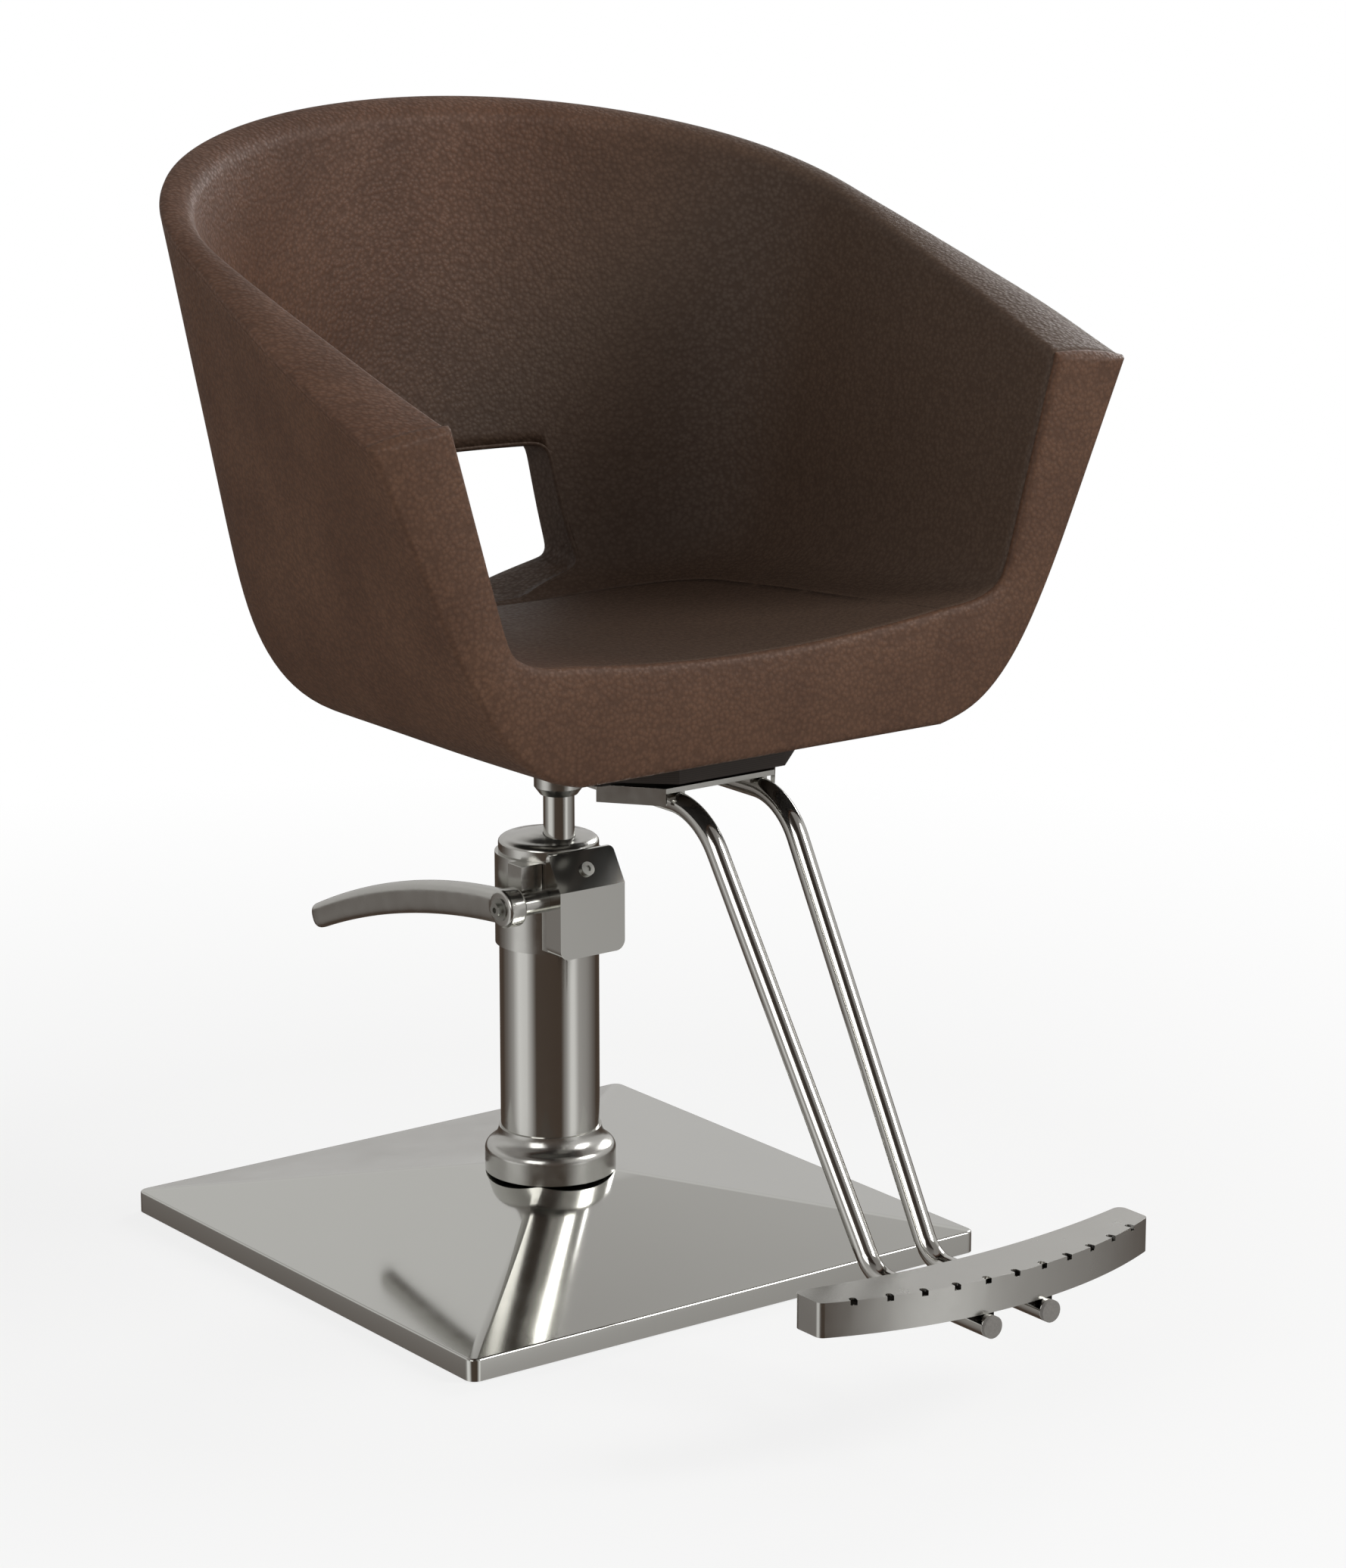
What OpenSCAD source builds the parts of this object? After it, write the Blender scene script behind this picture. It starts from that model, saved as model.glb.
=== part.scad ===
// Hairdressing chair: a low pyramid base, a hydraulic pump with a foot pedal, an upholstered tub
// with a window in its back, and a footrest on two bent tubes that turns with the seat.
// Millimetres. The origin is the centre of the base on the floor, the sitter faces -Y and +Z is up.

/* [Base] */
// Side of the square base
base_side = 470; // [430:5:560]
// Height of the upright rim
rim_h = 18; // [15:1:26]
// Height of the flat on which the pump stands
base_top_z = 54; // [48:1:64]
// Half side of that flat
base_top_half = 36; // [30:1:44]
// Radius of the upright corners
base_corner_r = 8; // [5:1:16]
// Width of the bevel along the top of the rim
rim_bevel = 2; // [1:0.5:3]
// Thickness of the chromed cover
cover_t = 1.5; // [1:0.1:2.5]
// Thickness of the ballast plate
ballast_t = 8; // [7:1:10]
// Thickness of the rubber sheet under it
pad_t = 2; // [1.5:0.5:3]

/* [Pump] */
// Radius of the outer tube
pump_r = 38.5; // [37.5:0.5:42]
// Wall of the outer tube
pump_wall = 3; // [2:0.5:3.5]
// Radius of the foot flange
flange_r = 51; // [50:0.5:58]
// Height of the flange's upright edge
flange_edge_h = 16; // [14:1:20]
// Thickness of the flange's floor
flange_floor_t = 18; // [16:1:20]
// Radius of the head casting
head_r = 41.5; // [41.5:0.5:44]
// Height at which the head begins
head_z = 237; // [230:0.5:237.5]
// Height of the head's flat top
head_top_z = 309; // [306:1:312]
// Height of the domed cap
cap_h = 17; // [12:1:22]
// Distance of the ram forward of the pump's axis
ram_offset = 14; // [12:0.5:14]
// Radius of the ram
ram_r = 12; // [10:0.5:12]
// Bore radius of the pressure tube
bore_r = 15.5; // [15:0.5:16]
// Wall of the pressure tube
bore_wall = 3.5; // [2.5:0.5:4]

/* [Pedal and mechanism] */
// Half width of the mechanism cover
box_half_w = 30; // [29:1:33]
// Front face of the cover, forward of the pump's axis
box_front = 58; // [57:1:62]
// Height of the cover's bottom
box_z = 238; // [235:1:239]
// Height at which its front face ends
box_front_top_z = 291; // [290:1:293]
// Height of its top
box_top_z = 317; // [312:1:318]
// Wall of the cover
box_wall = 2.5; // [2:0.5:2.5]
// Distance of the pedal shaft forward of the pump's axis
shaft_front = 36; // [35.5:0.5:36]
// Height of the pedal shaft
shaft_z = 281; // [279:1:282]
// Radius of the pedal shaft
shaft_r = 5; // [4:0.5:5]
// Width of the pedal lever
pedal_w = 16; // [12:1:18]
// Radius of the lever's eye
pedal_eye_r = 15; // [13:1:16]
// Half depth of the lever near its eye
pedal_half = 13.5; // [11:0.5:14]
// Half depth of the lever at its tip
pedal_tip_half = 10; // [8:0.5:12]
// Radius of the lever's long curve
pedal_bend_r = 800; // [700:10:900]
// Slope at which the lever leaves its eye, in degrees
pedal_slope = 4; // [2:1:6]
// Angle that the lever's curve turns through
pedal_sweep = 20; // [16:1:21]

/* [Tub] */
// Front plane of the tub, forward of the pump's axis
tub_front = 277; // [265:1:290]
// Height of the tub's underside
tub_z = 436; // [430:1:442]
// Height at which the walls turn into the underside
tub_base_z = 545; // [530:1:555]
// Outer half width at the arm tips
tip_half = 335; // [320:1:350]
// Outer half width of the rim where the back begins to curve
rim_half = 307; // [295:1:315]
// Back of the rim, behind the pump's axis
rim_back = 217; // [205:1:230]
// Outer half width of the front at the turn into the underside
base_tip_half = 270; // [262:1:276]
// Outer half width of the sides at that height
base_half = 254; // [248:1:262]
// Back of the tub at that height
base_back = 175; // [168:1:182]
// Half width of the flat underside
foot_half = 162; // [155:1:170]
// Back of the flat underside
foot_back = 90; // [86:1:94]
// Height of the arm tips' outer edge
tip_z = 690; // [675:1:705]
// Rise of the rim's outer edge per length backwards
rim_rise = 0.355; // [0.3:0.005:0.4]
// Height of the arm tips' inner edge
tip_in_z = 698; // [690:1:705]
// Rise of the rim's inner edge per length backwards
rim_in_rise = 0.33; // [0.29:0.005:0.36]
// Inner half width at the arm tips
tip_in_half = 268; // [260:1:275]
// Inner half width of the rim
rim_in_half = 282; // [272:1:286]
// Inner back of the rim
rim_in_back = 190; // [182:1:194]
// Inner half width of the front at the turn into the seat
base_in_tip_half = 224; // [215:1:228]
// Inner half width of the sides at that height
base_in_half = 226; // [216:1:230]
// Inner back at that height
base_in_back = 143; // [136:1:146]
// Height of the seat's front edge
seat_z = 511; // [505:1:516]
// Fall of the seat per length backwards
seat_fall = 0.08; // [0.05:0.005:0.085]
// Rise of the seat from its middle to the foot of the walls
seat_dish = 12; // [6:1:14]
// Half width of the loose seat pad
pad_half = 163; // [160:1:166]
// Back of the seat pad
pad_back = 89; // [86:1:92]
// Crown of the seat pad
pad_crown = 2; // [1:1:4]
// Thickness of the padded front band
band_t = 8; // [7:1:12]
// Thickness of the leather outer cover
skin_t = 3; // [2:0.5:4]
// Thickness of the moulded plywood shell
shell_t = 12; // [8:1:13]

/* [Back window] */
// Half width at its top
window_top_half = 112; // [95:1:120]
// Half width at its bottom
window_low_half = 128; // [110:1:134]
// Height of its bottom
window_low_z = 484; // [482:1:490]
// Rise of its lower edge towards the corners
window_sag = 16; // [12:1:22]
// Height of its top
window_top_z = 595; // [570:1:610]
// Radius of its corners
window_r = 12; // [8:1:20]

/* [Seat mount] */
// Height of the hub's lower end
hub_z = 356.5; // [354:0.5:358]
// Radius of the hub
hub_r = 19; // [18:0.5:24]
// Thickness of the plywood board under the tub
board_t = 22; // [20:1:24]
// Thickness of the steel seat plate
plate_t = 6; // [5:0.5:7]
// Thickness of the footrest's bracket
bracket_t = 4; // [3:0.5:5]

/* [Footrest] */
// Radius of the tubes
tube_r = 8; // [7:0.5:9]
// Wall of the tubes
tube_wall = 1.5; // [1:0.5:2]
// Distance of a tube from the middle at the seat
tube_top_x = 37.5; // [36:0.5:42]
// Distance of a tube from the middle at the footplate
tube_low_x = 26.25; // [22:0.25:32]
// Rear end of the tubes, forward of the pump's axis
tube_heel = 111; // [100:1:120]
// Upper corner of the tubes, forward of the pump's axis
tube_top_corner = 245; // [240:1:255]
// Lower corner of the tubes, forward of the pump's axis
tube_low_corner = 432; // [420:1:440]
// Front end of the tubes, forward of the pump's axis
tube_toe = 558; // [556:1:562]
// Radius of the upper bend
bend_top_r = 60; // [40:1:70]
// Radius of the lower bend
bend_low_r = 30; // [20:1:40]
// Height of the footplate's underside
footplate_z = 103; // [95:1:110]
// Height of the footplate
footplate_h = 25; // [20:1:30]
// Depth of the footplate from front to back
footplate_d = 44; // [36:1:48]
// Half width of the footplate
footplate_half = 148; // [140:1:155]
// Radius of its curved front
footplate_r = 365; // [340:5:400]
// Radius of its curved back
footplate_back_r = 640; // [500:10:800]
// Front of the footplate at the middle, forward of the pump's axis
footplate_front = 555; // [550:1:560]
// Number of slots in the tread
slot_count = 11; // [7:2:11]
// Spacing of the slots
slot_pitch = 25.1; // [22:0.1:25.5]

/* [Hidden] */
$fn = 64;

// Clearances and the overrun of cuts
cut = 1;
seat_gap = 0.3;
running_gap = 0.05;
hole_gap = 0.4;
layer_gap = 0.4;

// Base fittings
plate_inset = cover_t + hole_gap;
pad_inset = 6;
cover_lift = 1;
pillar_r = 46;
bolt_circle_r = 34;
bolt_r = 4;
bolt_head_r = 6.5;
bolt_head_h = 5;
bolt_grip = 12;
pillar_top_z = base_top_z - cover_t;
plate_z = pad_t;
plate_top_z = plate_z + ballast_t;

// Pump fittings
shoulder_r = 8;
shoulder_turn = 60;
flange_floor_z = base_top_z + flange_floor_t;
head_rebate = 9;
tube_seat = 4;
tube_rebate = 15;
gland_wall = 5;
gland_r = ram_r + gland_wall;
gland_h = 19;
seal_h = 4;
gland_z = head_top_z - seal_h - gland_h;
cap_rim = 7;
cap_corner = 8;
cap_step = 2.7;
cap_r = head_r - cap_step;
ram_y = -ram_offset;
piston_z = 105;
piston_h = 18;
ring_h = 4;
ring_depth = 2.3;
stud_r = 8;
nut_h = 5.7;
nut_r = 11;
ram_top_z = 402;
taper_z = 362;
taper_drop = 1;

// Mechanism fittings
neck_inset = 2;
neck_half_w = box_half_w - neck_inset;
box_lap = 2.3;
box_back = head_r - box_lap;
box_shoulder = 42;
box_corner_r = 8;
box_top_corner_r = 3.5;
pocket_half_w = 11;
pocket_back = ram_offset + gland_r + seat_gap;
pocket_low_z = 268;
pocket_top_z = 302;
boss_r = 8.6;
boss_end = 54;
shaft_end = 16;
arm = 12;
plunger_front = shaft_front + arm;
plunger_r = 4.5;
plunger_low_z = 246;
plunger_neck_z = 274;
plunger_top_z = 286;
plunger_head_d = 5;
pin_r = 2;
pin_half = 10.5;
barrel_r = 6.5;
barrel_z = box_z + box_wall + hole_gap;
barrel_top_z = 266;
lug_half_w = 8;
lug_top_z = 262;
cheek_in = 6;
cheek_t = 3;
fork_eye_r = 8;
fork_hub_wall = 1.3;
fork_hub_r = shaft_r + fork_hub_wall;
fork_swing = 20;
fork_half_h = 4.5;
fork_reach = 5;
fork_slot_half = 2.3;
post_r = 5;
spring_seat_z = 293.6;
spring_r = 3.2;
spring_wire_r = 0.5;
spring_turns = 3;
spring_ring_steps = 10;
screw_r = 2.5;
screw_head_r = 5.5;
screw_head_h = 2.5;
screw_len = 6;
valve_w = 18;
valve_d = 18;
valve_h = 19;
valve_x = -47;
valve_front = 31;
pedal_gap = 0.5;
pedal_steps = 16;
pedal_screw_head = 9;

// Tub curves
turn_y = -5;
wall_front = tub_front - band_t;
side_steps = 5;
back_steps = 12;
last = side_steps + back_steps;
turn_steps = 4;
wall_shares = [1/3, 2/3, 0.93, 1];
rows = turn_steps + len(wall_shares);
shell_end_share = 0.932;
rim_crown = 3;
rim_round_share = 0.975;
rim_shares = [0.1, 0.5, 0.88];
band_middle_steps = 6;
band_edge = 4;
band_edge_in = 3;
band_crown = 2;
pad_front_steps = 8;
pad_ring_shares = [0.97, 0.75, 0.5, 0.25];
pad_edge_drop = 3;
pan_z = tub_z + skin_t + layer_gap;
pan_top_z = tub_z + skin_t + shell_t;
cloth_t = skin_t - layer_gap;
pan_bolt_in = 8;
window_start = 96;
window_end = 240;

// Seat mount fittings
board_z = tub_z - board_t;
seat_plate_z = board_z - plate_t;
bracket_z = seat_plate_z - bracket_t;
board_half_w = 105;
board_tip_half = 48;
board_front = 232;
board_shoulder = 178;
board_back = 84;
plate_half_w = 88;
plate_front = 185;
plate_back = 76;
plate_corner = 9;
plate_bolt_inset = 18;
plate_bolt_front = 140;
small_bolt_r = 3;
small_head_r = 5.5;
small_head_h = 3.5;
small_bolt_in = 14;
hub_lip_h = 6;
hub_flange_r = 44;
hub_flange_h = 5;
hub_fillet = 8;

// Footrest fittings
leg_top_z = bracket_z - tube_r;
leg_low_z = footplate_z - tube_r;
tube_drop = leg_top_z - leg_low_z;
tube_lean = atan((tube_top_x - tube_low_x) / tube_drop);
flat_drop = tube_drop / cos(tube_lean);
run_angle = atan2(flat_drop, tube_low_corner - tube_top_corner);
bracket_margin = 4;
bracket_half_w = tube_top_x + tube_r + bracket_margin;
bracket_front = 218;
bracket_back = 116;
bracket_wing = 82;
bracket_wing_front = 177;
bracket_wing_back = 165;
bracket_neck = 150;
bracket_lip_h = 9;
bracket_lip_t = 3;
bracket_bolt_x = 18;
bracket_bolt_back = 132;
bracket_bolt_front = 176;
plug_t = 3;
plug_in = 9;
sheet_t = 2.5;
rib_half_w = 9;
rib_back = 4;
rib_d = footplate_d - 2 * rib_back;
slot_w = 5;
slot_len = 8;
slot_out = 2;
slot_depth = 3.5;
footplate_corner = 6;
saddle_h = tube_r / 2;
bend_steps = 6;
tube_sides = 20;

// Colours of the finishes
chrome = "#c9c9c4";
steel = "#8b8d8f";
leather = "#4e3a30";
lining_brown = "#46342b";
rubber_black = "#242424";
brass = "#b08d4a";
plywood = "#b48a5a";
iron = "#6d6e70";
cloth_black = "#2b2624";

function lerp(a, b, t) = a + (b - a) * t;
function unit(v) = v / norm(v);
function bend(a, b, c, t) = (1 - t) * (1 - t) * a + 2 * t * (1 - t) * b + t * t * c;
function flip(p) = [-p[0], p[1], p[2]];

// Closed skin over rings that all have the same number of points. With middles given, each end is
// a fan of triangles round its middle instead of one face
module skin_rings(rings, middles = [], turn = 1e6) {
    n = len(rings[0]);
    count = len(rings);
    end = (count - 1) * n;
    points = concat([for (ring = rings) for (p = ring) p], middles);
    sides = [for (k = [0 : count - 2]) for (j = [0 : n - 1])
        let (a = k * n + j, b = k * n + (j + 1) % n, c = a + n, d = b + n)
        each (j >= turn) == (turn < 1e6 && k < last) ? [[a, b, d], [a, d, c]] : [[a, b, c], [b, d, c]]];
    ends = len(middles) == 0
        ? [[for (j = [n - 1 : -1 : 0]) j], [for (j = [0 : n - 1]) end + j]]
        : [for (j = [0 : n - 1]) each [[(j + 1) % n, j, count * n], [end + j, end + (j + 1) % n, count * n + 1]]];
    polyhedron(points, concat(sides, ends));
}

module rounded_square(half_x, half_y, r) {
    square([2 * half_x, 2 * (half_y - r)], center = true);
    square([2 * (half_x - r), 2 * half_y], center = true);
    for (x = [-1, 1], y = [-1, 1])
        translate([x * (half_x - r), y * (half_y - r)]) circle(r);
}

module at_ram() {
    translate([0, ram_y, 0]) children();
}

module ring_of_four(r) {
    for (a = [45 : 90 : 315]) rotate(a) translate([r, 0, 0]) children();
}

module along_x(x0, x1) {
    translate([x0, 0, 0]) rotate([90, 0, 90]) linear_extrude(x1 - x0) children();
}

// Base

module floor_pad() color(rubber_black)
    linear_extrude(pad_t)
        rounded_square(base_side / 2 - pad_inset, base_side / 2 - pad_inset, base_corner_r);

module ballast_plate() color(steel) difference() {
    translate([0, 0, plate_z]) linear_extrude(ballast_t)
        rounded_square(base_side / 2 - plate_inset, base_side / 2 - plate_inset, base_corner_r);
    ring_of_four(bolt_circle_r) {
        cylinder(h = plate_top_z + cut, r = bolt_r + hole_gap);
        cylinder(h = plate_z + bolt_head_h + hole_gap, r = bolt_head_r + hole_gap);
    }
}

module cover_form(inset, z0, top_z) {
    half = base_side / 2 - inset;
    hull() {
        for (x = [-1, 1], y = [-1, 1])
            translate([x * (half - base_corner_r), y * (half - base_corner_r), z0]) {
                cylinder(h = rim_h - rim_bevel - inset - z0, r = base_corner_r, $fn = 24);
                cylinder(h = rim_h - inset - z0, r = base_corner_r - rim_bevel, $fn = 24);
            }
        translate([-base_top_half, -base_top_half, z0])
            cube([2 * base_top_half, 2 * base_top_half, top_z - z0]);
    }
}

module base_cover() color(chrome) difference() {
    cover_form(0, cover_lift, base_top_z);
    difference() {
        cover_form(cover_t, cover_lift - cut, pillar_top_z);
        translate([0, 0, pillar_top_z]) cylinder(h = cover_t, r = base_side);
    }
    ring_of_four(bolt_circle_r) cylinder(h = base_top_z + cut, r = bolt_r + hole_gap);
}

module pump_pillar() color(steel) difference() {
    translate([0, 0, plate_top_z])
        cylinder(h = pillar_top_z - plate_top_z, r = min(pillar_r, base_top_half));
    ring_of_four(bolt_circle_r - bolt_head_r)
        translate([bolt_head_r, 0, 0]) cylinder(h = base_top_z, r = bolt_r + hole_gap);
}

module pillar_bolts() color(steel) ring_of_four(bolt_circle_r) {
    translate([0, 0, plate_z]) cylinder(h = bolt_head_h, r = bolt_head_r, $fn = 6);
    translate([0, 0, plate_z]) cylinder(h = base_top_z + bolt_grip - plate_z, r = bolt_r);
}

// Pump

module pump_flange() color(chrome) {
    edge_z = base_top_z + flange_edge_h;
    mid_x = flange_r - shoulder_r * (1 - cos(shoulder_turn));
    mid_z = edge_z + shoulder_r * sin(shoulder_turn);
    hollow_r = (mid_x - pump_r - cover_t) / (1 - cos(shoulder_turn));
    hollow_x = mid_x + hollow_r * cos(shoulder_turn);
    hollow_z = mid_z + hollow_r * sin(shoulder_turn);
    arc_step = shoulder_turn / 6;
    difference() {
        rotate_extrude() polygon(concat(
            [[0, base_top_z], [flange_r, base_top_z]],
            [for (a = [0 : arc_step : shoulder_turn])
                [flange_r - shoulder_r + shoulder_r * cos(a), edge_z + shoulder_r * sin(a)]],
            [for (a = [shoulder_turn - arc_step : -arc_step : 0])
                [hollow_x - hollow_r * cos(a), hollow_z - hollow_r * sin(a)]],
            [[pump_r + running_gap, hollow_z], [pump_r + running_gap, flange_floor_z], [0, flange_floor_z]]));
        at_ram() translate([0, 0, flange_floor_z - tube_seat])
            cylinder(h = tube_seat + cut, r = bore_r + bore_wall + running_gap);
        ring_of_four(bolt_circle_r) cylinder(h = base_top_z + bolt_grip + hole_gap, r = bolt_r + running_gap);
    }
}

module pump_cylinder() color(chrome) difference() {
    translate([0, 0, flange_floor_z])
        cylinder(h = head_z + head_rebate - flange_floor_z, r = pump_r);
    translate([0, 0, flange_floor_z - cut])
        cylinder(h = head_z + head_rebate - flange_floor_z + 2 * cut, r = pump_r - pump_wall);
}

module pressure_tube() color(steel) at_ram() difference() {
    translate([0, 0, flange_floor_z - tube_seat])
        cylinder(h = head_z + tube_rebate - flange_floor_z + tube_seat, r = bore_r + bore_wall);
    translate([0, 0, flange_floor_z - tube_seat - cut])
        cylinder(h = head_z + tube_rebate - flange_floor_z + tube_seat + 2 * cut, r = bore_r);
}

module pump_head() color(chrome) difference() {
    union() {
        translate([0, 0, head_z]) cylinder(h = head_top_z - head_z, r = head_r);
        translate([-neck_half_w, -box_back, box_z + box_wall])
            cube([2 * neck_half_w, box_back, head_top_z - box_z - box_wall]);
        translate([-lug_half_w, -plunger_front, barrel_z])
            cube([2 * lug_half_w, plunger_front - box_back + cut, lug_top_z - barrel_z]);
        translate([-boss_end, -shaft_front, shaft_z]) rotate([0, 90, 0])
            cylinder(h = boss_end, r = boss_r);
    }
    translate([0, 0, head_z - cut]) cylinder(h = head_rebate + cut, r = pump_r + running_gap);
    at_ram() {
        translate([0, 0, head_z - cut])
            cylinder(h = tube_rebate + cut, r = bore_r + bore_wall + running_gap);
        cylinder(h = head_top_z + cut, r = ram_r + hole_gap);
        translate([0, 0, gland_z]) cylinder(h = head_top_z, r = gland_r + running_gap);
    }
    translate([-pocket_half_w, -box_front, pocket_low_z])
        cube([2 * pocket_half_w, box_front - pocket_back, pocket_top_z - pocket_low_z]);
    translate([-boss_end - cut, -shaft_front, shaft_z]) rotate([0, 90, 0])
        cylinder(h = boss_end + shaft_end + 2 * cut, r = shaft_r + running_gap);
    translate([0, -plunger_front, barrel_z - cut])
        cylinder(h = barrel_top_z, r = barrel_r + running_gap);
}

module head_cap() color(chrome) difference() {
    rotate_extrude() polygon(concat(
        [[0, head_top_z], [cap_r, head_top_z]],
        [for (a = [0 : 15 : 75])
            [cap_r - cap_corner + cap_corner * cos(a), head_top_z + cap_rim + (cap_h - cap_rim) / 2 * sin(a)]],
        [for (s = [1 : -0.25 : 0])
            [(cap_r - cap_corner) * s, head_top_z + cap_h - (cap_h - cap_rim) / 2 * s * s]]));
    at_ram() cylinder(h = head_top_z + cap_h + cut, r = ram_r + hole_gap);
}

module ram_gland() color(brass) at_ram() difference() {
    translate([0, 0, gland_z]) cylinder(h = gland_h, r = gland_r);
    cylinder(h = head_top_z, r = ram_r + running_gap);
}

module ram_seal() color(rubber_black) at_ram() difference() {
    translate([0, 0, gland_z + gland_h]) cylinder(h = seal_h, r = gland_r);
    cylinder(h = head_top_z + cut, r = ram_r + running_gap);
}

module valve_block() color(chrome) difference() {
    translate([valve_x, -valve_front, head_top_z - valve_h]) cube([valve_w, valve_d, valve_h]);
    cylinder(h = head_top_z + cut, r = head_r + running_gap);
    translate([-neck_half_w - running_gap, -box_back, 0])
        cube([2 * neck_half_w, box_back, head_top_z + cut]);
}

// Mechanism and pedal

function box_outline(inset) =
    let (slope = unit([box_front - box_shoulder, box_top_z - box_front_top_z]),
         face = box_front - inset,
         top = box_top_z - inset,
         reach = slope[1] * box_front + slope[0] * box_front_top_z - inset)
    [[-box_back + (inset > 0 ? cut : 0), box_z + inset], [-face, box_z + inset],
     [-face, (reach - slope[1] * face) / slope[0]], [-(reach - slope[0] * top) / slope[1], top],
     [-box_back + (inset > 0 ? cut : 0), top]];

module box_front_view(inset) {
    low_r = box_corner_r - inset;
    top_r = box_top_corner_r - inset;
    half = box_half_w - inset;
    low = box_z + inset;
    top = box_top_z - inset;
    translate([-half, low + low_r]) square([2 * half, top - low - low_r - top_r]);
    translate([low_r - half, low]) square([2 * (half - low_r), low_r + top_r]);
    translate([top_r - half, top - low_r]) square([2 * (half - top_r), low_r]);
    for (side = [-1, 1]) {
        translate([side * (half - low_r), low + low_r]) circle(low_r);
        translate([side * (half - top_r), top - top_r]) circle(top_r);
    }
}

module box_solid(inset) {
    intersection() {
        along_x(-box_half_w + inset, box_half_w - inset) polygon(box_outline(inset));
        rotate([90, 0, 0]) linear_extrude(box_front + cut) box_front_view(inset);
    }
}

module mechanism_cover() color(chrome) difference() {
    union() {
        difference() {
            box_solid(0);
            box_solid(box_wall);
        }
        intersection() {
            box_solid(0);
            translate([0, -plunger_front, spring_seat_z]) cylinder(h = box_top_z, r = post_r);
        }
    }
    at_slope() translate([0, 0, -screw_len]) cylinder(h = screw_len + cut, r = screw_r + running_gap);
    cylinder(h = head_top_z, r = head_r + running_gap);
    translate([-boss_end, -shaft_front, shaft_z]) rotate([0, 90, 0])
        cylinder(h = boss_end, r = boss_r + running_gap);
}

// Middle of the cover's sloping face, with +Z square to it
module at_slope() {
    lean = atan2(box_top_z - box_front_top_z, box_front - box_shoulder);
    translate([0, -(box_front + box_shoulder) / 2, (box_top_z + box_front_top_z) / 2])
        rotate([lean, 0, 0]) children();
}

module cover_screw() color(steel) at_slope() {
    translate([0, 0, -screw_len]) cylinder(h = screw_len, r = screw_r);
    difference() {
        cylinder(h = screw_head_h, r = screw_head_r);
        translate([0, 0, screw_head_h - screw_r / 2]) cylinder(h = screw_head_h, r = screw_r, $fn = 6);
    }
}

module pump_barrel() color(brass) translate([0, -plunger_front, 0]) difference() {
    translate([0, 0, barrel_z]) cylinder(h = barrel_top_z - barrel_z, r = barrel_r);
    translate([0, 0, barrel_z + box_wall]) cylinder(h = barrel_top_z, r = plunger_r + running_gap);
}

module plunger_spring() color(steel) {
    span = spring_seat_z - plunger_top_z - 2 * spring_wire_r - 2 * running_gap;
    count = spring_turns * spring_ring_steps;
    rings = [for (k = [0 : count])
        let (a = 360 * k / spring_ring_steps,
             z = plunger_top_z + running_gap + spring_wire_r + span * k / count)
        [for (s = [0 : 5]) let (b = 60 * s)
            [(spring_r + spring_wire_r * cos(b)) * cos(a), (spring_r + spring_wire_r * cos(b)) * sin(a),
             z - spring_wire_r * sin(b)]]];
    translate([0, -plunger_front, 0]) skin_rings(rings);
}

module pump_plunger() color(steel) translate([0, -plunger_front, 0]) {
    translate([0, 0, plunger_low_z]) cylinder(h = plunger_neck_z - plunger_low_z + cut, r = plunger_r);
    translate([-plunger_r, -plunger_head_d / 2, plunger_neck_z])
        cube([2 * plunger_r, plunger_head_d, plunger_top_z - plunger_neck_z]);
    translate([-pin_half, 0, shaft_z]) rotate([0, 90, 0]) cylinder(h = 2 * pin_half, r = pin_r);
}

module rocker_fork() color(steel) difference() {
    union() {
        for (x = [-cheek_in - cheek_t, cheek_in]) along_x(x, x + cheek_t) fork_profile();
        along_x(-cheek_in, cheek_in) intersection() {
            translate([-shaft_front, shaft_z]) circle(fork_hub_r);
            fork_room();
        }
    }
    translate([-pocket_half_w, -shaft_front, shaft_z]) rotate([0, 90, 0])
        cylinder(h = 2 * pocket_half_w, r = shaft_r + running_gap / 2);
}

// Room in front of the pocket's back wall, kept clear as the fork swings
module fork_room() intersection_for (a = [0 : fork_swing / 4 : fork_swing])
    translate([-shaft_front, shaft_z]) rotate(a) translate([-box_front, -box_front])
        square([box_front + shaft_front - pocket_back - seat_gap, 2 * box_front]);

module fork_profile() difference() {
    union() {
        intersection() {
            translate([-shaft_front, shaft_z]) circle(fork_eye_r);
            fork_room();
        }
        translate([-plunger_front - fork_reach, shaft_z - fork_half_h])
            square([arm + fork_reach, 2 * fork_half_h]);
    }
    translate([-plunger_front, shaft_z]) {
        translate([-fork_reach - cut, -fork_slot_half]) square([fork_reach + cut, 2 * fork_slot_half]);
        translate([0, -fork_slot_half]) square([fork_slot_half, 2 * fork_slot_half]);
    }
}

module pivot_shaft() color(steel)
    translate([-boss_end - pedal_gap - pedal_w, -shaft_front, shaft_z]) rotate([0, 90, 0])
        cylinder(h = boss_end + pedal_gap + pedal_w + shaft_end, r = shaft_r);

function pedal_mid(s) =
    let (a = pedal_slope + pedal_sweep * s)
    [-shaft_front + pedal_bend_r * (sin(a) - sin(pedal_slope)),
     shaft_z - pedal_bend_r * (cos(pedal_slope) - cos(a))];

function pedal_edge(s, side) =
    let (a = pedal_slope + pedal_sweep * s, half = lerp(pedal_half, pedal_tip_half, s * s))
    pedal_mid(s) + side * half * [sin(a), cos(a)];

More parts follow.
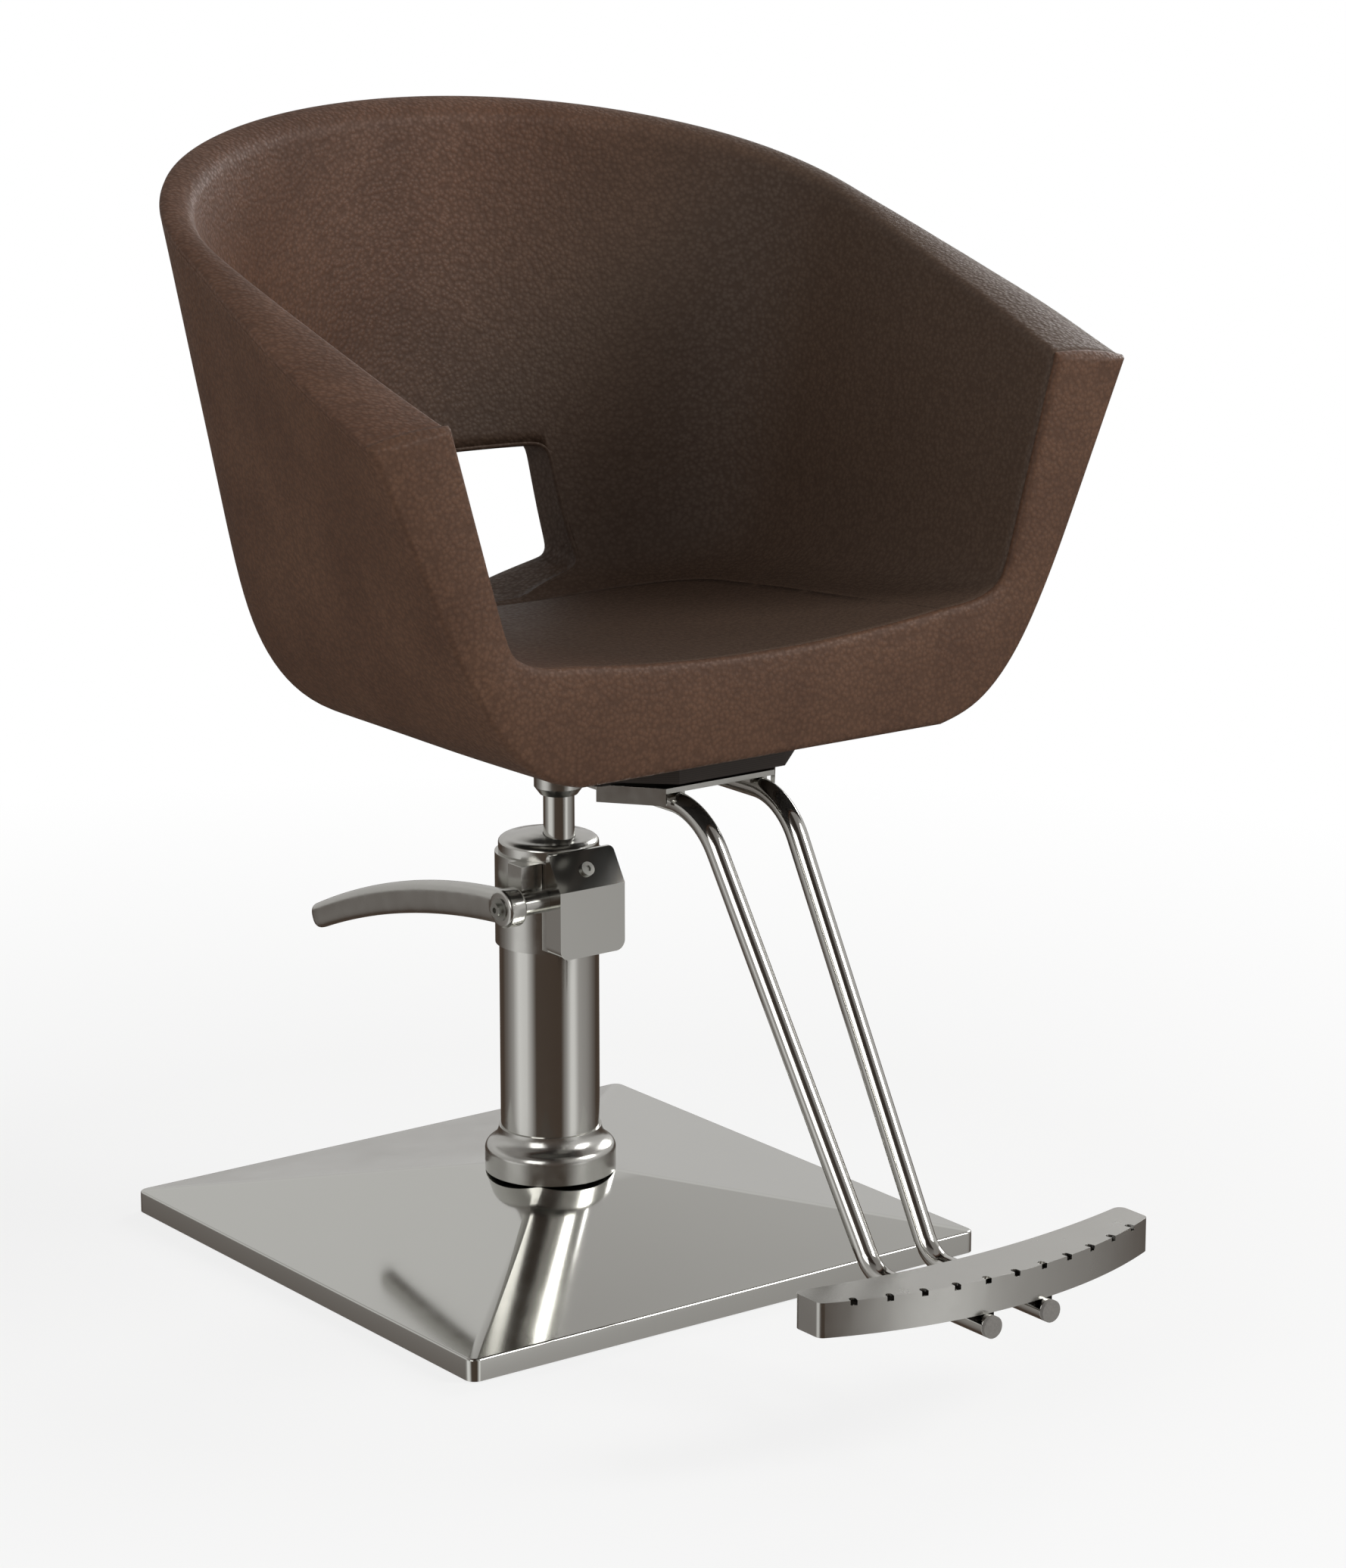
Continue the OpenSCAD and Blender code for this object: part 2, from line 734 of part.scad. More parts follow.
module pedal_lever() color(chrome)
    along_x(-boss_end - pedal_gap - pedal_w, -boss_end - pedal_gap) difference() {
        union() {
            polygon(concat(
                [for (k = [0 : pedal_steps]) pedal_edge(k / pedal_steps, -1)],
                [for (k = [pedal_steps : -1 : 0]) pedal_edge(k / pedal_steps, 1)]));
            translate([-shaft_front, shaft_z]) circle(pedal_eye_r);
        }
        translate([-shaft_front, shaft_z]) circle(shaft_r + running_gap / 2);
    }

module pedal_screw() color(steel)
    translate([-boss_end - pedal_gap - pedal_w, -shaft_front, shaft_z]) rotate([0, -90, 0]) difference() {
        union() {
            cylinder(h = screw_head_h / 2, r = pedal_screw_head);
            cylinder(h = screw_head_h * 2, r = screw_head_r);
        }
        translate([0, 0, screw_head_h]) cylinder(h = 2 * screw_head_h, r = screw_r, $fn = 6);
    }

// Ram

module ram_piston() color(steel) at_ram() difference() {
    translate([0, 0, piston_z]) cylinder(h = piston_h, r = bore_r - 3 * running_gap);
    translate([0, 0, piston_z - cut]) cylinder(h = piston_h + 2 * cut, r = stud_r + running_gap);
    translate([0, 0, piston_z + (piston_h - ring_h) / 2]) difference() {
        cylinder(h = ring_h, r = bore_r + cut);
        cylinder(h = ring_h, r = bore_r - ring_depth);
    }
}

module piston_ring() color(rubber_black) at_ram()
    translate([0, 0, piston_z + (piston_h - ring_h) / 2 + running_gap]) difference() {
        cylinder(h = ring_h - 2 * running_gap, r = bore_r - running_gap);
        translate([0, 0, -cut])
            cylinder(h = ring_h + 2 * cut, r = bore_r - ring_depth + running_gap);
    }

module ram() color(chrome) at_ram() {
    translate([0, 0, piston_z - nut_h]) cylinder(h = nut_h + piston_h + seat_gap + cut, r = stud_r);
    translate([0, 0, piston_z + piston_h + seat_gap])
        cylinder(h = taper_z - piston_z - piston_h - seat_gap, r = ram_r);
    translate([0, 0, taper_z]) cylinder(h = ram_top_z - taper_z, r1 = ram_r, r2 = ram_r - taper_drop);
}

module piston_nut() color(steel) at_ram() difference() {
    translate([0, 0, piston_z - nut_h]) cylinder(h = nut_h - seat_gap, r = nut_r, $fn = 6);
    translate([0, 0, piston_z - nut_h - cut]) cylinder(h = nut_h + cut, r = stud_r + running_gap);
}

module hub_socket() color(chrome) at_ram() difference() {
    rotate_extrude() polygon([
        [0, hub_z], [ram_r + running_gap + screw_r, hub_z], [hub_r, hub_z + hub_lip_h],
        [hub_r, seat_plate_z - hub_flange_h - hub_fillet], [hub_r + hub_fillet, seat_plate_z - hub_flange_h],
        [hub_flange_r, seat_plate_z - hub_flange_h], [hub_flange_r, seat_plate_z], [0, seat_plate_z]]);
    translate([0, 0, hub_z - cut]) cylinder(h = taper_z - hub_z + cut, r = ram_r + running_gap);
    translate([0, 0, taper_z])
        cylinder(h = ram_top_z - taper_z, r1 = ram_r + running_gap, r2 = ram_r - taper_drop + running_gap);
    translate([0, 0, ram_top_z - running_gap]) cylinder(h = seat_gap, r = ram_r - taper_drop + running_gap);
}

// Seat mount

module seat_plate() color(iron) difference() {
    translate([0, (plate_back - plate_front) / 2, seat_plate_z]) linear_extrude(plate_t)
        rounded_square(plate_half_w, (plate_back + plate_front) / 2, plate_corner);
    plate_bolt_places() cylinder(h = tub_z, r = small_bolt_r + hole_gap);
    bracket_bolt_places() cylinder(h = tub_z, r = small_bolt_r + hole_gap);
}

module plate_bolt_places() {
    for (x = [-1, 1], y = [plate_back - plate_bolt_inset, -plate_bolt_front])
        translate([x * (plate_half_w - plate_bolt_inset), y, 0]) children();
}

module bracket_bolt_places() {
    for (x = [-1, 1], y = [bracket_bolt_back, bracket_bolt_front])
        translate([x * bracket_bolt_x, -y, 0]) children();
}

module small_bolt(z, end_z) {
    translate([0, 0, z - small_head_h]) cylinder(h = small_head_h, r = small_head_r, $fn = 6);
    translate([0, 0, z - small_head_h]) cylinder(h = end_z - z + small_head_h, r = small_bolt_r);
}

module plate_bolts() color(steel) plate_bolt_places() small_bolt(seat_plate_z, pan_z + pan_bolt_in);

module bracket_bolts() color(steel) bracket_bolt_places() small_bolt(bracket_z, board_z + small_bolt_in);

module mounting_board() color(plywood) difference() {
    translate([0, 0, board_z]) linear_extrude(board_t)
        polygon([[-board_tip_half, -board_front], [board_tip_half, -board_front], [board_half_w, -board_shoulder],
            [board_half_w, board_back], [-board_half_w, board_back], [-board_half_w, -board_shoulder]]);
    plate_bolt_places() cylinder(h = tub_z + cut, r = small_bolt_r + running_gap);
    bracket_bolt_places() cylinder(h = board_z + small_bolt_in + hole_gap, r = small_bolt_r + running_gap);
}

// Tub: at each station the outer and the inner face are curves from the underside or the seat
// round to the wall and up to the rim, and every layer lies between them

function plan(i, front_half, side_half, back, soft, front = wall_front) =
    let (k = last - abs(i), s = i < 0 ? -1 : 1)
    k <= side_steps
        ? let (y = lerp(-front, turn_y, k / side_steps),
               t = (turn_y - y) / (turn_y + tub_front),
               e = soft ? t * t : 1 - (1 - t) * (1 - t))
            [s * lerp(side_half, front_half, e), y]
        : let (a = 90 * (k - side_steps) / back_steps)
            [s * side_half * cos(a), turn_y + (back - turn_y) * sin(a)];

function rim_point(p, z0, rise) = [p[0], p[1], z0 + rise * (p[1] + tub_front)];

function seat_height(p) = seat_z - seat_fall * (p[1] + tub_front) + seat_dish * (p[0] / pad_half) * (p[0] / pad_half);

function face_row(low, turn, rim, low_z, row_share) =
    let (base = [turn[0], turn[1], tub_base_z],
         corner = base + (base - rim) * (tub_base_z - low_z) / (rim[2] - tub_base_z),
         foot = [low[0], low[1], low_z])
    row_share < 1
        ? bend(foot, [corner[0], corner[1], low_z], base, row_share)
        : lerp(base, rim, row_share - 1);

function outer_at(i, row_share, front = wall_front) =
    face_row(plan(i, foot_half, foot_half, foot_back, false, front),
        plan(i, base_tip_half, base_half, base_back, false, front),
        rim_point(plan(i, tip_half, rim_half, rim_back, false, front), tip_z, rim_rise), tub_z, row_share);

function inner_at(i, row_share, front = wall_front) =
    let (low = plan(i, pad_half, pad_half, pad_back, true, front))
    face_row(low, plan(i, base_in_tip_half, base_in_half, base_in_back, true, front),
        rim_point(plan(i, tip_in_half, rim_in_half, rim_in_back, true, front), tip_in_z, rim_in_rise),
        seat_height(low), row_share);

function layer_at(i, row_share, depth) =
    let (o = outer_at(i, row_share), n = inner_at(i, row_share))
    o + depth * unit(n - o);

row_shares = concat([for (k = [0 : turn_steps - 1]) k / turn_steps], [1], [for (s = wall_shares) 1 + s]);

function strip(i, depth_a, depth_b, count) = concat(
    [for (j = [0 : count]) layer_at(i, row_shares[j], depth_a)],
    [for (j = [count : -1 : 0]) layer_at(i, row_shares[j], depth_b)]);

function rim_top(i, share) =
    let (n = inner_at(i, 2), o = outer_at(i, 2))
    lerp(n, o, share) + [0, 0, 4 * rim_crown * share * (1 - share)];

function lining_ring(i) =
    let (inside = skin_t + shell_t + 2 * layer_gap, step = 1 + shell_end_share)
    concat(
        [for (j = [0 : rows - 1]) inner_at(i, row_shares[j])],
        [inner_at(i, 1 + rim_round_share)],
        [for (s = rim_shares) rim_top(i, s)],
        [layer_at(i, 2, skin_t + layer_gap), layer_at(i, step, skin_t + layer_gap), layer_at(i, step, inside)],
        [for (j = [rows - 2 : -1 : 0]) layer_at(i, row_shares[j], inside)]);

module window_cut() {
    translate([0, window_end, 0]) rotate([90, 0, 0]) linear_extrude(window_end - window_start)
        window_outline();
}

module window_outline() {
    hull() for (x = [-1, 1]) {
        translate([x * window_low_half / 3, window_low_z + window_r]) circle(window_r);
        translate([x * (window_low_half - window_r), window_low_z + window_sag + window_r]) circle(window_r);
        translate([x * (window_top_half - window_r), window_top_z - window_r]) circle(window_r);
    }
}

module tub_shell() color(plywood) difference() {
    skin_rings([for (i = [-last : last]) strip(i, skin_t + layer_gap, skin_t + shell_t, rows - 1)], turn = rows);
    window_cut();
}

module outer_cover() color(leather) difference() {
    skin_rings([for (i = [-last : last]) strip(i, 0, skin_t, rows)], turn = rows + 1);
    window_cut();
}

module tub_lining() color(lining_brown) difference() {
    skin_rings([for (i = [-last : last]) lining_ring(i)], turn = len(lining_ring(0)) - rows);
    window_cut();
}

function foot_outline(inset, front = wall_front) =
    [for (i = [-last : last]) plan(i, foot_half - inset, foot_half - inset, foot_back - inset, false, front)];

module seat_pan() color(plywood) difference() {
    translate([0, 0, pan_z]) linear_extrude(pan_top_z - pan_z) polygon(foot_outline(layer_gap));
    plate_bolt_places() cylinder(h = pan_z + pan_bolt_in + hole_gap, r = small_bolt_r + running_gap);
}

module underside_cloth() color(cloth_black) difference() {
    translate([0, 0, tub_z]) linear_extrude(cloth_t) polygon(foot_outline(layer_gap));
    plate_bolt_places() cylinder(h = pan_z, r = small_bolt_r + hole_gap);
}

function pad_ring(inset, share, lift) =
    let (front = wall_front - layer_gap, half = pad_half - inset, back = pad_back - inset,
         mid_y = (back - front) / 2,
         sides = [for (i = [-last : last]) plan(i, half, half, back, false, front)],
         edge = [for (j = [1 : pad_front_steps - 1]) [half - 2 * half * j / pad_front_steps, -front]])
    [for (p = concat(sides, edge))
        let (x = p[0] * share, y = mid_y + (p[1] - mid_y) * share)
        [x, y, lift == undef ? pan_top_z + layer_gap : seat_height([x, y]) + lift]];

module seat_cushion() color(lining_brown) {
    mid_y = (pad_back - wall_front) / 2;
    skin_rings(concat(
        [pad_ring(pad_half - foot_half + layer_gap, 1),
         pad_ring(layer_gap, 1, -pad_edge_drop)],
        [for (s = pad_ring_shares) pad_ring(layer_gap, s, pad_crown * (1 - s * s))]),
        [[0, mid_y, pan_top_z + layer_gap], [0, mid_y, seat_height([0, mid_y]) + pad_crown]]);
}

// Padded band over the front of both arms and the seat
function band_section(o, n, inset, lift) =
    let (d = unit([n[0] - o[0], 0, n[2] - o[2]]), a = o + inset * d + [0, 0, lift],
         b = n - inset * d + [0, 0, lift], back = -wall_front - layer_gap, front = -tub_front + band_crown + inset / 2)
    [for (q = [
        [a, back], [a, front + band_edge], [a + d * band_edge * 0.3, front + band_edge * 0.3],
        [a + d * band_edge, front], [(a + b) / 2, front - band_crown], [b - d * band_edge_in, front],
        [b - d * band_edge_in * 0.3, front + band_edge_in * 0.3], [b, front + band_edge_in], [b, back]])
        [q[0][0], q[1], q[0][2]]];

function band_row(share, side) =
    band_section(outer_at(side * last, share, tub_front), inner_at(side * last, share, tub_front), 0, 0);

function band_end(side) =
    band_section(outer_at(side * last, 2, tub_front), inner_at(side * last, 2, tub_front), rim_crown, rim_crown);

module front_band() color(leather) {
    count = len(row_shares);
    skin_rings(concat(
        [band_end(-1)],
        [for (j = [count - 1 : -1 : 0]) band_row(row_shares[j], -1)],
        [for (j = [1 : band_middle_steps - 1]) let (t = 2 * j / band_middle_steps - 1)
            band_section([foot_half * t, 0, tub_z], [pad_half * t, 0, seat_height([pad_half * t, -tub_front])], 0, 0)],
        [for (j = [0 : count - 1]) band_row(row_shares[j], 1)],
        [band_end(1)]));
}

// Footrest

// A tube's middle line in its own plane: place along Y, height and slope in degrees
function tube_path() =
    let (top_end = tube_top_corner - bend_top_r * tan(run_angle / 2),
         low_end = tube_low_corner + bend_low_r * tan(run_angle / 2))
    concat(
        [[-tube_heel, 0, 0]],
        [for (k = [0 : bend_steps]) let (a = run_angle * k / bend_steps)
            [-top_end - bend_top_r * sin(a), bend_top_r * (cos(a) - 1), a]],
        [for (k = [0 : bend_steps]) let (a = run_angle * (1 - k / bend_steps))
            [bend_low_r * sin(a) - low_end, bend_low_r * (1 - cos(a)) - flat_drop, a]],
        [[-tube_toe, -flat_drop, 0]]);

function tube_ring(m, r) =
    [for (j = [0 : tube_sides - 1]) let (b = 360 * j / tube_sides, n = r * sin(b))
        [r * cos(b), m[0] - n * sin(m[2]), m[1] + n * cos(m[2])]];

module footrest_tube(side) {
    path = tube_path();
    n = len(path);
    rings = concat([for (m = path) tube_ring(m, tube_r)],
        [for (k = [n - 1 : -1 : 0]) tube_ring(path[k], tube_r - tube_wall)]);
    points = [for (ring = rings) for (p = ring) p];
    sides = [for (k = [0 : 2 * n - 1]) for (j = [0 : tube_sides - 1])
        let (next = (k + 1) % (2 * n), a = k * tube_sides + j, b = k * tube_sides + (j + 1) % tube_sides,
             c = next * tube_sides + j, d = next * tube_sides + (j + 1) % tube_sides)
        each [[a, b, d], [a, d, c]]];
    translate([side * tube_top_x, 0, leg_top_z]) rotate([0, side * tube_lean, 0]) polyhedron(points, sides);
}

module footrest_tube_left() color(chrome) footrest_tube(1);

module footrest_tube_right() color(chrome) footrest_tube(-1);

module end_plug() rotate([90, 0, 0]) {
    cylinder(h = plug_t, r = tube_r);
    translate([0, 0, -plug_in])
        cylinder(h = plug_in, r = (tube_r - tube_wall) * cos(180 / tube_sides) - running_gap);
}

module tube_plugs() color(rubber_black) for (side = [-1, 1]) {
    translate([side * tube_top_x, -tube_heel, leg_top_z]) mirror([0, 1, 0]) end_plug();
    translate([side * tube_low_x, -tube_toe, leg_low_z]) end_plug();
}

function bracket_side(side) =
    let (points = [[bracket_half_w, -bracket_front], [bracket_wing, -bracket_wing_front],
         [bracket_wing, -bracket_wing_back], [bracket_half_w, -bracket_neck], [bracket_half_w, -bracket_back]])
    [for (k = [0 : 4]) let (p = points[side > 0 ? k : 4 - k]) [side * p[0], p[1]]];

// Turned-down edge along the bracket's slanting side
function bracket_lip(side) =
    let (a = [bracket_half_w, -bracket_front], b = [bracket_wing, -bracket_wing_front], d = unit(b - a),
         n = bracket_lip_t * [-d[1], d[0]])
    [for (p = [a, b, b + n, a + n]) [side * p[0], p[1]]];

module footrest_bracket() color(iron) difference() {
    union() {
        translate([0, 0, bracket_z]) linear_extrude(bracket_t)
            polygon([for (side = [1, -1]) each bracket_side(side)]);
        for (side = [-1, 1]) translate([0, 0, bracket_z - bracket_lip_h])
            linear_extrude(bracket_lip_h + bracket_t / 2) polygon(bracket_lip(side));
        for (side = [-1, 1])
            translate([side * tube_top_x - tube_r, -bracket_front + bracket_t, leg_top_z + tube_r / 2])
                cube([2 * tube_r, bracket_front - bracket_back - 2 * bracket_t, tube_r]);
    }
    for (side = [-1, 1])
        translate([side * tube_top_x, 0, leg_top_z]) rotate([90, 0, 0])
            cylinder(h = tube_toe, r = tube_r + running_gap);
    bracket_bolt_places() cylinder(h = seat_plate_z + cut, r = small_bolt_r + hole_gap);
}

// Outline of the footplate about the centre of its front curve; the ends are parallel
module footplate_outline(inset) {
    front_r = footplate_r - inset;
    back_r = footplate_back_r + inset;
    corner = footplate_corner - inset;
    back_mid = footplate_back_r + footplate_d - footplate_r;
    x = footplate_half - footplate_corner;
    front_y = -sqrt(pow(front_r - corner, 2) - x * x);
    back_y = back_mid - sqrt(pow(back_r + corner, 2) - x * x);
    past = footplate_r + 2 * corner;
    reach = 2 * corner / norm([x, back_mid - back_y]);
    intersection() {
        difference() {
            circle(front_r, $fn = 240);
            translate([0, back_mid]) circle(back_r, $fn = 360);
        }
        polygon([for (side = [-1, 1]) for (p = [
            [-side * x * past / front_y, -past], [side * x, front_y], [side * x, back_y],
            [side * x * (1 - reach), back_y + reach * (back_mid - back_y)]])
            p], [[0, 1, 2, 3, 7, 6, 5, 4]]);
    }
    for (side = [-1, 1]) {
        translate([side * x, front_y]) circle(corner);
        translate([side * x, back_y]) circle(corner);
        translate([side * x - (side < 0 ? corner : 0), front_y]) square([corner, back_y - front_y]);
    }
}

module footplate() color(chrome) {
    translate([0, footplate_r - footplate_front, footplate_z]) {
        difference() {
            linear_extrude(footplate_h) footplate_outline(0);
            translate([0, 0, -cut]) linear_extrude(footplate_h - sheet_t + cut) footplate_outline(sheet_t);
            for (k = [-(slot_count - 1) / 2 : (slot_count - 1) / 2])
                rotate(asin(k * slot_pitch / footplate_r))
                    translate([0, -footplate_r, footplate_h - slot_depth]) linear_extrude(slot_depth + cut) slot();
        }
        difference() {
            for (x = [-tube_low_x, tube_low_x])
                translate([x - rib_half_w, rib_back - footplate_r, -saddle_h])
                    cube([2 * rib_half_w, rib_d, footplate_h + saddle_h - sheet_t / 2]);
            for (x = [-tube_low_x, tube_low_x])
                translate([x, 0, -tube_r]) rotate([90, 0, 0]) cylinder(h = 2 * footplate_r, r = tube_r + running_gap);
        }
    }
}

module slot() {
    translate([-slot_w / 2, -slot_out]) square([slot_w, slot_len - slot_w / 2]);
    translate([0, slot_len - slot_out - slot_w / 2]) circle(slot_w / 2, $fn = 24);
}

floor_pad();
ballast_plate();
base_cover();
pump_pillar();
pillar_bolts();
pump_flange();
pump_cylinder();
pressure_tube();
pump_head();
head_cap();
ram_gland();
ram_seal();
valve_block();
mechanism_cover();
cover_screw();
pump_barrel();
plunger_spring();
pump_plunger();
pedal_lever();
pivot_shaft();
rocker_fork();
pedal_screw();
ram_piston();
piston_ring();
ram();
piston_nut();
hub_socket();
seat_plate();
plate_bolts();
mounting_board();
seat_pan();
underside_cloth();
tub_shell();
outer_cover();
tub_lining();
front_band();
seat_cushion();
footrest_bracket();
bracket_bolts();
footrest_tube_left();
footrest_tube_right();
tube_plugs();
footplate();
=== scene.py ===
from math import atan, atan2, copysign, cos, pi, radians, sin, sqrt, tan

import bmesh
import bpy
import numpy as np
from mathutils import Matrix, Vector
from mathutils.bvhtree import BVHTree


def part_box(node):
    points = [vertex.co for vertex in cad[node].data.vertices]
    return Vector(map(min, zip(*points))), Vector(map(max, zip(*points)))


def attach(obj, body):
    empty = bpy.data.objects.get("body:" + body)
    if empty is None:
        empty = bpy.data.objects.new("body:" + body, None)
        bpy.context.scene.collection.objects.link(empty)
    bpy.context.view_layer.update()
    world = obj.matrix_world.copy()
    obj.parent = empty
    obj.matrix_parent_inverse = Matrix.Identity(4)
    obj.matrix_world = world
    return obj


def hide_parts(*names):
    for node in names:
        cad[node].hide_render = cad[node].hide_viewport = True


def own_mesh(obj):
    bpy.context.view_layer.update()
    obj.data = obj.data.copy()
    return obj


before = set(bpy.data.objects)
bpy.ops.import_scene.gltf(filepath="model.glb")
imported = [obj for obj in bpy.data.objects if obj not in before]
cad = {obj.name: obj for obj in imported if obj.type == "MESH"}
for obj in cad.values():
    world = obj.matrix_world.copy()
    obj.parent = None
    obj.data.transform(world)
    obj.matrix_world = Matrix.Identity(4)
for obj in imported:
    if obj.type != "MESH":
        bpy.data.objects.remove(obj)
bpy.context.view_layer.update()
mm = 0.001
print("frame loaded:", len(cad), "solids")


def newObject(name, data):
    obj = bpy.data.objects.new(name, data)
    bpy.context.scene.collection.objects.link(obj)
    return obj


# camera at the photograph's place, found by fitting the base, the pump and the tub
camera = {
    "place": (-2.0102, -2.8636, 1.2334),    # metres
    "around": -36.63,                       # degrees round from straight ahead
    "above": 14.01,                         # degrees
    "focalLength": 108.33,                  # mm on a 36 mm sensor, along the long side
    "sensor": 36.0,
    "clip": (0.1, 100),                     # metres
}


def placeCamera():
    data = bpy.data.cameras.new("studioCamera")
    data.lens = camera["focalLength"]
    data.sensor_width = camera["sensor"]
    data.clip_start, data.clip_end = camera["clip"]
    obj = newObject("studioCamera", data)
    obj.location = camera["place"]
    obj.rotation_euler = (radians(90 - camera["above"]), 0, radians(camera["around"]))
    bpy.context.scene.camera = obj


placeCamera()
bpy.context.scene.view_settings.view_transform = "Standard"
print("camera placed")


# colours and nodes

def srgb(code):
    # from a hex colour to linear light, by the standard curve
    parts = [int(code[k:k + 2], 16) / 255 for k in (1, 3, 5)]
    return [p / 12.92 if p <= 0.04045 else ((p + 0.055) / 1.055) ** 2.4 for p in parts] + [1.0]


def feed(tree, node, inputs):
    for key, value in inputs.items():
        if isinstance(value, bpy.types.NodeSocket):
            tree.links.new(value, node.inputs[key])
        else:
            node.inputs[key].default_value = value


def addNode(tree, kind, inputs=None, stops=(), **settings):
    # stops are a ramp's pairs of position and colour
    node = tree.nodes.new(kind)
    for key, value in settings.items():
        setattr(node, key, value)
    for _ in stops[2:]:
        node.color_ramp.elements.new(0.5)
    for k, (position, colour) in enumerate(stops):
        element = node.color_ramp.elements[k]
        element.position, element.color = position, colour
    feed(tree, node, inputs or {})
    return node


def emptyTree(owner):
    owner.use_nodes = True
    owner.node_tree.nodes.clear()
    return owner.node_tree


def newMaterial(name):
    material = bpy.data.materials.new(name)
    tree = emptyTree(material)
    shader = addNode(tree, "ShaderNodeBsdfPrincipled")
    addNode(tree, "ShaderNodeOutputMaterial", {"Surface": shader.outputs[0]})
    place = addNode(tree, "ShaderNodeTexCoord").outputs["Object"]
    return material, tree, shader, place


# corrected cowhide, embossed with a pebble grain and lightly finished: soft sheen, mottled brown
leather = {
    "pebble": 3.4, "pebbleBlend": 0.35,     # mm across, and how softly the pebbles meet
    # noises by size in mm, detail and roughness: fine pores, slow changes of the dye, specks a few
    # pebbles wide, and slack over the foam
    "noises": {"pore": (0.9, 2.0, 0.5), "cloud": (90, 3.0, 0.55), "speck": (8.16, 2.0, 0.5),
               "fold": (70, 1.0, 0.5)},
    "poreShare": 0.3, "grainDepth": 0.45, "foldDepth": 0.9,     # share of the grain, and mm
    "cloudRange": (0.36, 0.66),
    "speckRange": (0.42, 0.62), "speckDepth": 0.10,
    "valleyRange": (0.28, 0.62), "valleyDepth": 0.35,           # the dye is darker between pebbles
    "roughRange": (0.1, 0.7), "roughSpread": 0.16,
    "specular": 0.30,
    # painted shade: the colour turns greyer down into the bowl and towards its far side, where the inside
    # lies in shadow
    "paintedShadeAlong": (1, 0, -1.2), "paintedShadeRange": (-0.91, -0.69), "paintedShadeGrey": "#514236",
}


def pebbledLeather(name, tone):
    material, tree, shader, place = newMaterial(name)
    hide = leather
    cells = {"Vector": place, "Scale": 1 / (hide["pebble"] * mm), "Smoothness": hide["pebbleBlend"]}
    pebbles = addNode(tree, "ShaderNodeTexVoronoi", cells, feature="SMOOTH_F1").outputs["Distance"]
    noise = {}
    for part, (size, detail, roughness) in hide["noises"].items():
        inputs = {"Vector": place, "Scale": 1 / (size * mm), "Detail": detail, "Roughness": roughness}
        noise[part] = addNode(tree, "ShaderNodeTexNoise", inputs).outputs["Fac"]
    across = {0: place, 1: hide["paintedShadeAlong"]}
    along = addNode(tree, "ShaderNodeVectorMath", across, operation="DOT_PRODUCT").outputs["Value"]
    smooth = tone["roughness"]
    ranges = {
        # painted shade: how far the colour greys along the slope into the shadowed bowl
        "fade": (along, hide["paintedShadeRange"], (0.0, tone["paintedShadeMix"])),
        "valley": (pebbles, hide["valleyRange"], (0.0, hide["valleyDepth"])),
        "speck": (noise["speck"], hide["speckRange"], (0.0, hide["speckDepth"])),
        "rough": (pebbles, hide["roughRange"], (smooth, smooth + hide["roughSpread"])),
    }
    share = {}
    for part, (value, (low, high), (first, last)) in ranges.items():
        inputs = {"Value": value, "From Min": low, "From Max": high, "To Min": first, "To Max": last}
        share[part] = addNode(tree, "ShaderNodeMapRange", inputs).outputs[0]
    shades = zip(hide["cloudRange"], [srgb(tone["brown"]), srgb(tone["brownPale"])])
    dye = addNode(tree, "ShaderNodeValToRGB", {"Fac": noise["cloud"]}, stops=list(shades)).outputs["Color"]
    # a mix takes its colours by number, because they share their names with its number sockets
    # painted shade: the colour is mixed towards a grey brown down in the shadowed bowl
    paintedShadeInputs = {0: share["fade"], 6: dye, 7: srgb(hide["paintedShadeGrey"])}
    paintedShadeMix = addNode(tree, "ShaderNodeMix", paintedShadeInputs, data_type="RGBA").outputs[2]
    dark = {0: share["valley"], 1: share["speck"]}
    darker = addNode(tree, "ShaderNodeMath", dark, operation="ADD", use_clamp=True).outputs[0]
    deeper = {0: darker, 6: paintedShadeMix, 7: srgb(tone["brownDeep"])}
    colour = addNode(tree, "ShaderNodeMix", deeper, data_type="RGBA").outputs[2]
    grain = addNode(tree, "ShaderNodeMath", {0: pebbles, 1: -1.0}, operation="MULTIPLY").outputs[0]
    both = {0: noise["pore"], 1: hide["poreShare"], 2: grain}
    relief = addNode(tree, "ShaderNodeMath", both, operation="MULTIPLY_ADD").outputs[0]
    grained = {"Height": relief, "Distance": hide["grainDepth"] * mm}
    embossed = addNode(tree, "ShaderNodeBump", grained).outputs["Normal"]
    slack = {"Height": noise["fold"], "Distance": hide["foldDepth"] * mm, "Normal": embossed}
    normal = addNode(tree, "ShaderNodeBump", slack).outputs["Normal"]
    feed(tree, shader, {"Base Color": colour, "Roughness": share["rough"], "Normal": normal,
                        "Specular IOR Level": hide["specular"]})
    return material


# hand smears on metal: the roughness changes a little from patch to patch
smear = {"detail": 4.0, "roughness": 0.6, "range": (0.3, 0.7)}


